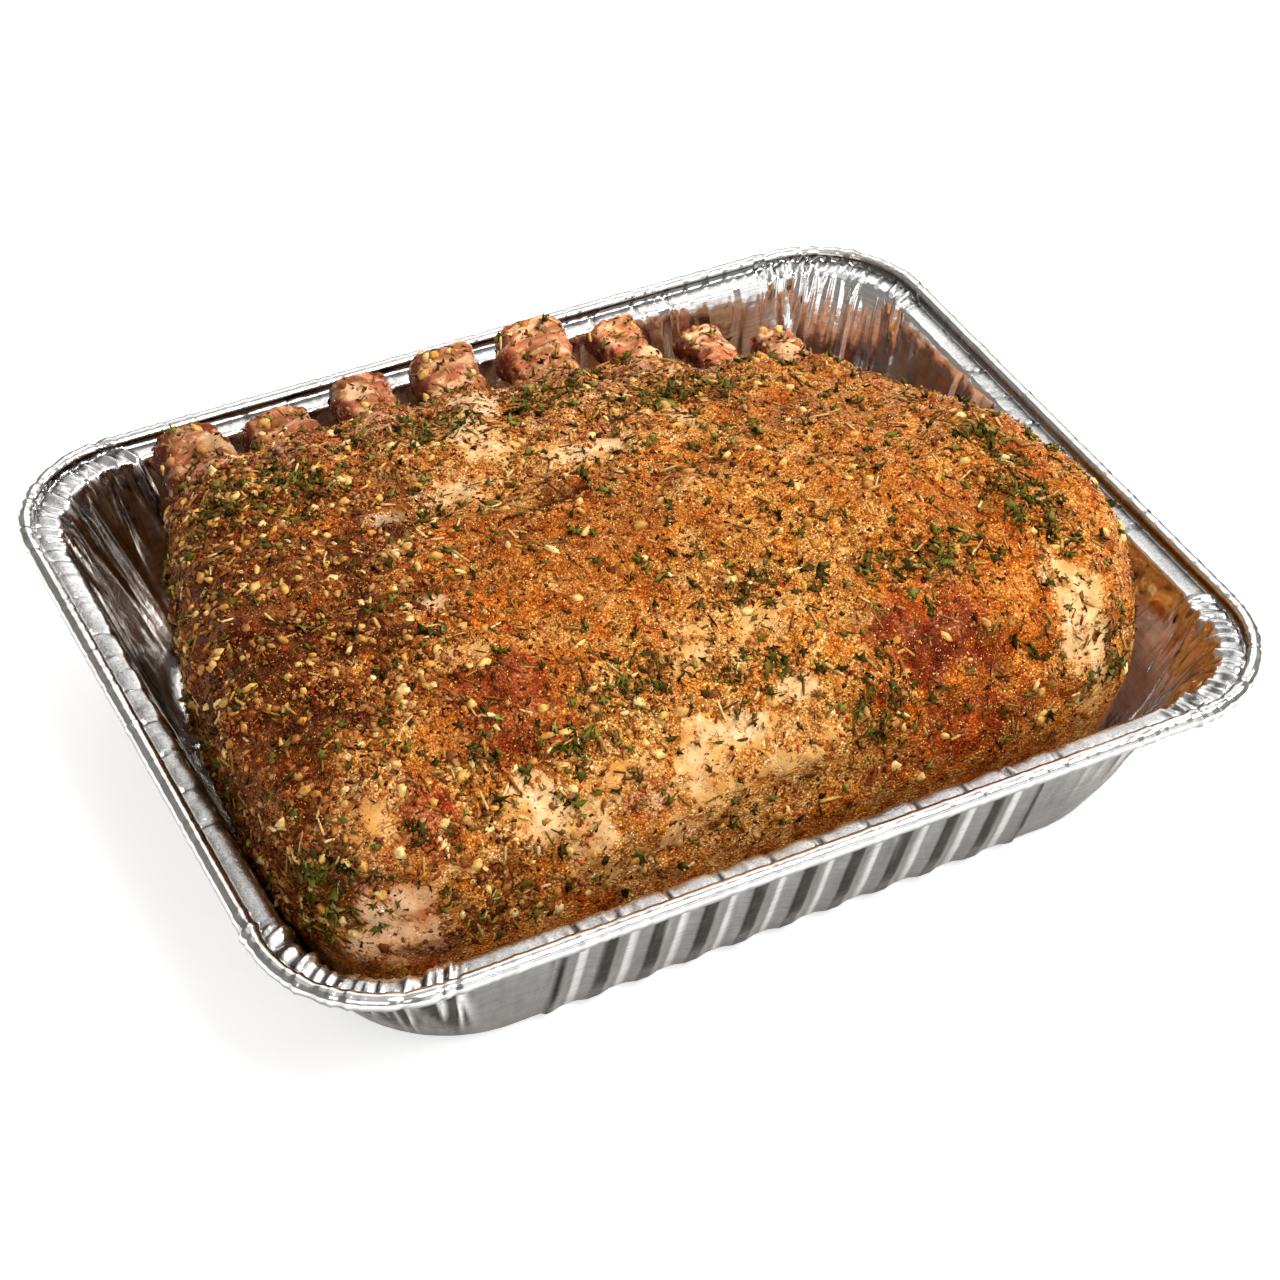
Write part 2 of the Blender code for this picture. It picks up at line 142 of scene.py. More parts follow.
class Finish:
    """A node material under construction: one Principled shader, and short calls that add nodes."""

    def __init__(self, name, roughness, metallic=0.0, **sockets):
        self.material = bpy.data.materials.new(name)
        self.material.use_nodes = True
        self.tree = self.material.node_tree
        self.shader = self.tree.nodes["Principled BSDF"]
        values = {"Roughness": roughness, "Metallic": metallic, **sockets}
        for socket, value in values.items():
            self.shader.inputs[socket.replace("_", " ")].default_value = value
        self.place = self.add("ShaderNodeTexCoord").outputs["Object"]

    def add(self, kind, inputs=(), **settings):
        """A new node with those settings, its sockets linked or set."""
        node = self.tree.nodes.new(kind)
        for key, value in settings.items():
            setattr(node, key, value)
        for key, value in dict(inputs).items():
            if isinstance(value, bpy.types.NodeSocket):
                self.tree.links.new(value, node.inputs[key])
            else:
                node.inputs[key].default_value = value
        return node

    def link(self, value, socket):
        """Feeds one of the shader's sockets."""
        self.tree.links.new(value, self.shader.inputs[socket])

    def noise(self, size, detail=3.0, stretch=(1, 1, 1), rough=0.55):
        """Cloud noise with features of that size in metres, longer along stretched axes."""
        place = self.place
        if stretch != (1, 1, 1):
            place = self.add("ShaderNodeMapping", {"Vector": place, "Scale": [1 / s for s in stretch]})
            place = place.outputs["Vector"]
        inputs = {"Vector": place, "Scale": 1 / size, "Detail": detail, "Roughness": rough}
        return self.add("ShaderNodeTexNoise", inputs).outputs["Fac"]

    def cells(self, size, output="Color"):
        """Crumbs of that size in metres: a random colour, or the distance, of the nearest one."""
        return self.add("ShaderNodeTexVoronoi", {"Vector": self.place, "Scale": 1 / size}).outputs[output]

    def ramp(self, value, low, high, to_low=0.0, to_high=1.0):
        """The value stretched from low..high to to_low..to_high, and held there."""
        inputs = {"Value": value, "From Min": low, "From Max": high, "To Min": to_low, "To Max": to_high}
        return self.add("ShaderNodeMapRange", inputs).outputs["Result"]

    def maths(self, operation, a, b):
        """The sum or product of two values."""
        return self.add("ShaderNodeMath", {0: a, 1: b}, operation=operation).outputs[0]

    def mix(self, share, a, b, blend="MIX"):
        """Colour a, with b laid over it by that share."""
        a, b = (c if isinstance(c, bpy.types.NodeSocket) else (*c, 1) for c in (a, b))
        inputs = {0: share, 6: a, 7: b}
        return self.add("ShaderNodeMix", inputs, data_type="RGBA", blend_type=blend).outputs[2]

    def times(self, colour, tint):
        """The colour times another colour."""
        return self.mix(1.0, colour, tint, "MULTIPLY")

    def shaded(self, colour, shade):
        """The colour times a grey value."""
        grey = self.add("ShaderNodeCombineColor", {"Red": shade, "Green": shade, "Blue": shade})
        return self.times(colour, grey.outputs["Color"])

    def split(self, colour):
        """The colour's red, green and blue."""
        return self.add("ShaderNodeSeparateColor", {"Color": colour}).outputs

    def attribute(self, name, output="Color"):
        """What paint() stored under that name."""
        return self.add("ShaderNodeAttribute", attribute_name=name).outputs[output]

    def bump(self, height, distance, strength=1.0, after=None):
        """Relief of that depth in metres, on top of an earlier one."""
        inputs = {"Height": height, "Distance": distance, "Strength": strength}
        if after:
            inputs["Normal"] = after
        return self.add("ShaderNodeBump", inputs).outputs["Normal"]


def tin_profile():
    """The sheet's section, from inside the base up the wall, over the flange, round the bead, and
    back down outside. Each row is (inset, height, corner radius, flute share, side), side +1 inside,
    0 on the bead and -1 outside."""
    rows = []
    steps = np.array((-1.5, -0.7, 0, 0.7, 1.5)) * MM
    offsets = sorted({ring + step for ring in RING_OFFSETS for step in steps} | {11 * MM})
    for offset in offsets[::-1]:
        ridge = sum(bell((offset - ring) / RING_HALF) for ring in RING_OFFSETS)
        rows.append((foot_centre + offset, FOIL + RING_HEIGHT * ridge, BASE_CORNER - max(0, offset), 0))
    for angle in np.radians(np.linspace(76, math.degrees(lean) + 8, 4)):
        inset = foot_centre - FOOT_RADIUS * math.cos(angle)
        height = FOIL + FOOT_RADIUS * (1 - math.sin(angle))
        rows.append((inset, height, BASE_CORNER, 1 - angle / math.radians(90)))
    low = FOIL + FOOT_RADIUS * (1 - math.sin(lean))
    for t in np.linspace(0, 1, 14)[1:]:
        height = low + t * (WALL_TOP - WALL_STOP - low)
        corner = BASE_CORNER + (MOUTH_CORNER - BASE_CORNER) * t
        fluted = 1 - 0.45 * ease(t, 0.84, 0.16)
        rows.append((FLANGE + WALL_LEAN * (WALL_TOP - height), height, corner, fluted))
    for angle in np.radians((15, 36, 57, 78)):
        inset = FLANGE - LIP_RADIUS * (1 - math.cos(angle))
        height = WALL_TOP + LIP_RISE - LIP_RADIUS * (1 - math.sin(angle))
        rows.append((inset, height, MOUTH_CORNER, 0.5 - 0.1 * angle))
    for t in np.linspace(0, 1, 7)[1:]:
        inset = FLANGE - PLATFORM_INSET - t * PLATFORM_RUN
        height = WALL_TOP + LIP_RISE + CROWN * (math.sin(math.pi * (0.25 + 0.75 * t)) - 0.7)
        rows.append((inset, height, RIM_CORNER - inset, 0.3 * (1 - t)))
    inside = [(*row, 1) for row in rows]
    bead = []
    for angle in BEAD_ANGLES:
        inset, height = CURL_RADIUS * (1 - math.cos(angle)), RIM_HEIGHT + CURL_RADIUS * math.sin(angle)
        bead.append((inset, height, RIM_CORNER - inset, 0, 0))
    shown = [row for row in inside if row[1] > FOOT_TOP]
    outside = [(row[0] - FOIL, row[1] - 0.3 * FOIL, *row[2:4], -1) for row in shown[::-1]]
    turn = FOOT_RADIUS + FOIL
    for angle in np.radians((35, 55, 74, 90)):
        inset, height = foot_centre - turn * math.cos(angle), turn * (1 - math.sin(angle))
        outside.append((inset, height, BASE_CORNER, 1 - angle / math.radians(90), -1))
    return np.array(inside + bead + outside)


def tin_plan(profile):
    """Columns once round the tin at every row: each side's straight part, then the corner's path of
    a straight run, a quarter arc and a straight run, shared out evenly. Returns the points, the
    outward directions, and by column the place along the rim, the flute wave (flat crests and lands
    with straight flanks), the distance from the nearest crest, and how far it is into a corner."""
    inset, height, radius = (profile[:, k : k + 1] for k in range(3))
    half = (TIN_LENGTH / 2, TIN_WIDTH / 2)
    straight = [h - foot_centre - BASE_CORNER for h in half]
    path = 2 * RIM_CORNER + RIM_CORNER * math.pi / 2
    blocks, outward, along, flutes, phases, bend_share = [], [], [], [], [], []
    run = 0.0
    for quarter in range(4):
        a, b = quarter % 2, 1 - quarter % 2
        tangent = np.array([(1, 0), (0, 1), (-1, 0), (0, -1)][quarter], float)
        normal = np.array([tangent[1], -tangent[0]])
        t = np.linspace(-straight[a], straight[a], SIDE_COLUMNS[a], endpoint=False)[None, :] + 0 * inset
        ahead, out = half[a] - inset, half[b] - inset
        blocks.append(t[..., None] * tangent + (out + 0 * t)[..., None] * normal)
        outward.append(np.broadcast_to(normal, (*t.shape, 2)))
        along.append(run + straight[a] + t[0])
        phase = np.abs((t[0] / FLUTE_PITCH + 0.5 * (FLUTES[a] + 1)) % 1.0 - 0.5) * FLUTE_PITCH
        wave = np.clip(1 - (phase - FLUTE_CREST / 2) / FLUTE_FLANK, 0, 1)
        fluted = np.abs(t[0]) < FLUTES[a] * FLUTE_PITCH / 2
        flutes.append(wave * fluted)
        phases.append(np.where(fluted, phase, PLAIN_PHASE))
        bend_share.append(np.zeros(SIDE_COLUMNS[a]))
        run += 2 * straight[a]
        first, arc, last = ahead - radius - straight[a], radius * math.pi / 2, out - radius - straight[b]
        share = np.linspace(0, 1, CORNER_COLUMNS, endpoint=False)[None, :]
        d = share * (first + arc + last)
        angle = np.clip((d - first) / radius, 0, math.pi / 2)
        bend = np.cos(angle)[..., None] * normal + np.sin(angle)[..., None] * tangent
        onward = ahead - radius + np.minimum(d - first, 0)
        outer = out - radius - np.maximum(d - first - arc, 0)
        blocks.append(onward[..., None] * tangent + outer[..., None] * normal + radius[..., None] * bend)
        outward.append(bend)
        along.append(run + share[0] * path)
        flutes.append(np.zeros(CORNER_COLUMNS))
        phases.append(np.full(CORNER_COLUMNS, PLAIN_PHASE))
        bend_share.append(ease(share[0], 0.20, 0.1) * ease(-share[0], -0.80, 0.1))
        run += path
    points = np.concatenate(blocks, 1)
    points = np.concatenate([points, np.broadcast_to(height[..., None], (*points.shape[:2], 1))], 2)
    columns = [np.concatenate(c) for c in (along, flutes, phases, bend_share)]
    return points, np.concatenate(outward, 1), *columns, run


def creased(relief, along, length, depth_in, places, width, height, start, end, rng):
    """Adds one crease at each place along the rim: a sharp fold of profile exp(-(distance / width)^1.3)
    that runs from start to end down the sheet and leans a little. The pairs are random limits."""
    for place in places:
        w, h, s, e = (rng.uniform(*pair) for pair in (width, height, start, end))
        tilt = rng.normal() * CREASE_SLANT
        away = (along - place + length / 2) % length - length / 2
        near = np.abs(away) < CREASE_REACH
        off = away[near][None, :] + tilt * (depth_in[:, None] - s)
        fade = ease(depth_in, s - 1 * MM, 2 * MM) * ease(-depth_in, -e, 0.35 * e)
        relief[:, near] += h * fade[:, None] * np.exp(-((np.abs(off) / w) ** 1.3))


def sheet_tones(profile, points, phases, bend_share, slope):
    """The tin's paint, as three shares. First the sheet's tone, painted reflection and shade: outside
    dark on the crests, bright down the middle of the lands, light and dark by the slope of the folds
    and darker in the corners; the flange darker than the inside, most at the front, and light and dark
    over its folds; the bead bright on top and dark below; painted shade in the groove, at the bead's
    inner foot and on the inner left wall. Then where the sheet is stippled, and where it is outside."""
    inset, height, side = (profile[:, k : k + 1] for k in (0, 1, 4))
    # Painted reflections outside: dark crests, bright lands, folds by slope, and painted shade in the
    # corners.
    crest = smooth(0.5 + (CREST_HALF - phases) / (0.6 * MM))
    land = smooth(0.5 + (LAND_HALF - np.abs(phases - FLUTE_PITCH / 2)) / (0.6 * MM))
    stripes = WALL_GREY + (CREST_TONE - WALL_GREY) * crest + (LAND_TONE - WALL_GREY) * land
    stripes *= 1 - 0.45 * bend_share
    outside_reflections = np.clip(stripes + FOLD_GAIN * slope * (0.35 + bend_share), 0.005, 1.0)
    outside = (side < 0) * ease(-height, 1.5 * MM - WALL_TOP, 2 * MM)
    tone = BRIGHT_TONE + (outside_reflections - BRIGHT_TONE) * outside
    on_flange = (side > 0) & (height > WALL_TOP)
    # The flange's painted reflection: darker at the front, brighter at the back, light and dark over its
    # folds.
    band = ease(inset, 5.2 * MM, 1 * MM) * ease(-inset, 1.2 * MM - FLANGE, 1.2 * MM) * on_flange
    folds = np.clip(1 + (1.6 + 1.6 * bend_share) * slope, 0.25, 1.7)
    flange = FLANGE_TONE + FLANGE_BRIGHTER * ease(points[..., 1], 10 * MM, 100 * MM)
    tone = tone + (flange * folds - tone) * band
    # The bead's painted highlight on top and painted shade below and at its inner foot, light and dark over
    # its creases.
    rolled = 0.20 + 0.62 * smooth(0.42 + 0.9 * np.sin(BEAD_ANGLES))
    rolled *= ease(-BEAD_ANGLES, -math.radians(164), math.radians(16))
    bead = side[:, 0] == 0
    tone[bead] = np.clip(rolled[:, None] * np.clip(1 + 1.3 * slope[bead], 0.4, 1.5), 0.06, 1)
    # Painted shade in the groove.
    tone *= 1 - 0.6 * bell((inset - GROOVE_INSET) / GROOVE_HALF) * on_flange
    # Painted shade on the inner left wall.
    inner_wall = (side > 0) & (height < WALL_TOP - 4 * MM)
    tone *= 1 - 0.4 * ease(-points[..., 0], 108 * MM, 22 * MM) * inner_wall
    return np.stack([tone, band + 0 * tone, outside + 0 * tone], -1).reshape(-1, 3)


def tin_surface():
    """The tin's points: the plan at each row, moved along the sheet's own normal by the flutes, by
    creases across the rim and pleats down the corners, and by a fine crinkle. Also returns its
    paint."""
    profile = tin_profile()
    points, outward, along, flutes, phases, bend_share, length = tin_plan(profile)
    height, side = profile[:, 1:2], profile[:, 4]
    step = np.gradient(profile[:, :2], axis=0)
    step /= np.linalg.norm(step, axis=1)[:, None] + 1e-12
    push_out, push_up = step[:, 1] * side, step[:, 0] * side
    bead = side == 0
    push_out[bead], push_up[bead] = -np.cos(BEAD_ANGLES), -np.sin(BEAD_ANGLES)
    run = np.concatenate([[0], np.cumsum(np.hypot(*np.diff(profile[:, :2], axis=0).T))])
    first, last = np.flatnonzero(bead)[[0, -1]]
    depth_in = np.where(side > 0, run[first] - run, np.where(side < 0, run - run[last], 0.0))
    fluted = FLUTE_DEPTH * profile[:, 3:4] * flutes
    relief = fluted.copy()
    rng = np.random.default_rng(FOIL_SEED)

    def spread(pitch, in_corner):
        """Places about a pitch apart round the rim, in the corners' arcs or outside them."""
        places = np.arange(0, length, pitch) + rng.uniform(-0.4, 0.4, int(np.ceil(length / pitch))) * pitch
        bent = np.interp(places, along, bend_share) > 0.5
        return places[bent == in_corner]

    tucks = along[np.flatnonzero(np.diff((flutes > 0.5).astype(int)) > 0)]
    for places, *limits in (  # then the limits of width, height, start and end, in mm
        (tucks, (0.5, 0.8), (0.5, 1.0), (1.5, 3), (13, 18)),
        (tucks + 1.9 * MM, (0.5, 0.8), (-0.6, -0.3), (2, 4), (10, 13)),
        (spread(3.6 * MM, False), (0.4, 0.9), (-0.30, 0.30), (-2, -1), (1.2, 4)),
        (spread(5 * MM, False), (0.35, 0.6), (-0.45, 0.30), (2, 6), (8, 13)),
        (spread(4.2 * MM, True), (0.5, 1.4), (-2.2, -0.4), (1, 4), (10, 28)),
        (spread(4.6 * MM, True), (0.7, 1.2), (0.5, 1.1), (1, 3), (9, 20)),
        (spread(2.8 * MM, True), (0.5, 1.1), (-0.6, 0.6), (-2, -1), (2, 7)),
        (spread(4.6 * MM, True), (0.9, 1.9), (-2.2, 1.3), (9, 14), (30, 64)),
        (spread(9.0 * MM, False), (1.0, 2.4), (-0.4, 0.4), (14, 22), (34, 60)),
    ):
        pairs = [tuple(v * MM for v in pair) for pair in limits]
        creased(relief, along, length, depth_in, places, *pairs, rng)
    unrolled = np.broadcast_arrays(along[None, :], 0.4 * depth_in[:, None], 0 * along[None, :])
    flat = np.stack(unrolled, -1).reshape(-1, 3)
    crinkle = ripple(flat, 6 * MM, 3, 2) * 0.22 * MM + ripple(flat, 2.2 * MM, 4) * 0.06 * MM
    crinkle = crinkle.reshape(relief.shape) * ease(height, 1.5 * MM, 6 * MM)
    crinkle *= np.where(side < 0, 0.5, 1)[:, None] * (1 - 0.85 * ease(height, WALL_TOP, 1 * MM))
    crinkle *= 1 - 0.6 * ease(-height, -11 * MM, 4 * MM) * (side > 0)[:, None]
    relief = (relief + crinkle) * ease(height, 0.6 * MM, 4 * MM)
    points[..., :2] += outward * (relief * push_out[:, None])[..., None]
    points[..., 2] += relief * push_up[:, None]
    points[..., 2] = np.maximum(points[..., 2], 0)
    slope = np.gradient(relief - fluted, axis=1) / np.gradient(along).clip(0.2 * MM)
    return points, sheet_tones(profile, points, phases, bend_share, slope)


def foil_finish():
    """Rolled foil: bright and finely crinkled inside and on the rim, rougher outside and grey there with
    painted reflections, with the sheet's rolling lines, and a stippled flange."""
    foil = Finish("foil", 0.17, 1.0, Specular_Tint=(0.75, 0.72, 0.69, 1))
    tone, stipple, outside = foil.split(foil.attribute("sheet"))[:3]
    lines = foil.noise(0.7 * MM, 2, (30, 30, 1))
    clouds = foil.ramp(foil.noise(9 * MM, 3), 0.3, 0.7, 0.88, 1.06)
    streaks = foil.ramp(lines, 0.3, 0.7, 0.85, 1.12)
    pits = foil.ramp(stipple, 0, 1, 1, foil.ramp(foil.noise(0.8 * MM, 3), 0.3, 0.7, 0.72, 1.22))
    shade = tone
    for mottle in (clouds, streaks, pits):
        shade = foil.maths("MULTIPLY", shade, mottle)
    foil.link(foil.shaded((1.0, 0.985, 0.97), shade), "Base Color")
    rough = foil.ramp(foil.noise(3 * MM, 3), 0.3, 0.7, 0.10, 0.22)
    for duller in (outside, stipple):
        rough = foil.maths("ADD", rough, foil.maths("MULTIPLY", duller, 0.16))
    foil.link(rough, "Roughness")
    fine = foil.bump(lines, 0.03 * MM, 0.5)
    pressed = foil.bump(foil.noise(0.9 * MM, 3), 0.15 * MM, foil.ramp(stipple, 0, 1, 0.12, 0.8), fine)
    foil.link(foil.bump(foil.noise(6 * MM, 2), 0.5 * MM, 0.35, pressed), "Normal")
    return foil.material


tin_points, sheet_paint = tin_surface()
tin = skin("foil_tin_sheet", tin_points, foil_finish())
paint(tin, "sheet", sheet_paint)
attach(tin, "root")
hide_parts("foil_tin")

# ---- The loin ------------------------------------------------------------------------------------
# A bone-in pork loin, fat side up, trimmed square at both ends. It is pressed a little out of shape
# by the tin, swells over each rib, and its fat cap is stained by a wet rub of paprika and herbs.
SECTION = (  # Y and Z of the cross-section's corners, from the front round over the top, in mm
    (-106.5, 44.0), (-101.0, 74.0), (-77.0, 92.0), (-36.0, 98.0), (10.0, 94.5), (54.0, 87.0), (80.0, 79.0),
    (94.5, 73.0), (99.5, 66.0), (91.0, 55.5), (80.0, 43.0), (58.0, 27.0), (15.0, 3.0), (-40.0, -1.0),
    (-82.0, 0.0), (-100.0, 18.0),
)
END_KNOTS = (-108, -60, 0, 60, 100)
LEFT_END = (-142.0, -145.0, -141.0, -127.0, -114.0)
RIGHT_END = (128.0, 138.5, 132.5, 122.0, 111.0)
END_SQUARENESS, END_CAP = (7.0, 7.0), 0.06
CORE_Y, CORE_Z = -15 * MM, 46 * MM
BACK_RIGHT_FALL = 17 * MM
BACK_STEPS = ((-70, -30, -8), (-80, 90, 5), (36, 30, 8))  # steps of its back edge: start, run, depth in mm
WALL_TUCK, TUCK_TOP = 0.30, 48 * MM
LUMP, CRAG = 1.6 * MM, 0.8 * MM
RIB_RIDGE, RIB_RIDGE_HALF = 3 * MM, 8.5 * MM
RIBS, RIB_PITCH, FIRST_RIB_X = 8, 30.2 * MM, -100 * MM
RIB_TIP_Y = (115.0, 114.0, 116.5, 116.5, 117.0, 114.0, 107.0, 101.0)
RIB_SLANT = (3, 3, 6, 7, 5, 1, 0, -1)
RIB_SHIFT = (0, 0, 0, 0, 0, 0, 0, -7)
LOIN_STATIONS, LOIN_AROUND, SHOWN_SHARE = 352, 250, 0.80
REST_HEIGHT = 0.8 * MM

# Stains of the fat cap, named by what lies there, and patches of painted shade in DARK and MAROON:
# colour, middle (mm) and reach (mm) on X, Y and Z, and strength.
GOLD, CRUST, AMBER = (0.55, 0.205, 0.034), (0.38, 0.108, 0.015), (0.50, 0.125, 0.011)
BROWN, DARK, RUST = (0.130, 0.026, 0.005), (0.060, 0.010, 0.003), (0.345, 0.053, 0.012)
YELLOW, CREAM, WHITE_FAT = (0.61, 0.285, 0.060), (0.68, 0.360, 0.115), (0.77, 0.51, 0.26)
BARE, PINK, FLESH = (0.98, 0.57, 0.31), (0.45, 0.105, 0.042), (0.48, 0.200, 0.085)
RAW, BURNT, MAROON = (0.26, 0.022, 0.010), (0.120, 0.013, 0.005), (0.060, 0.012, 0.006)
PALE_SIDE, RIB_MEAT = (0.88, 0.55, 0.40), (0.56, 0.235, 0.115)
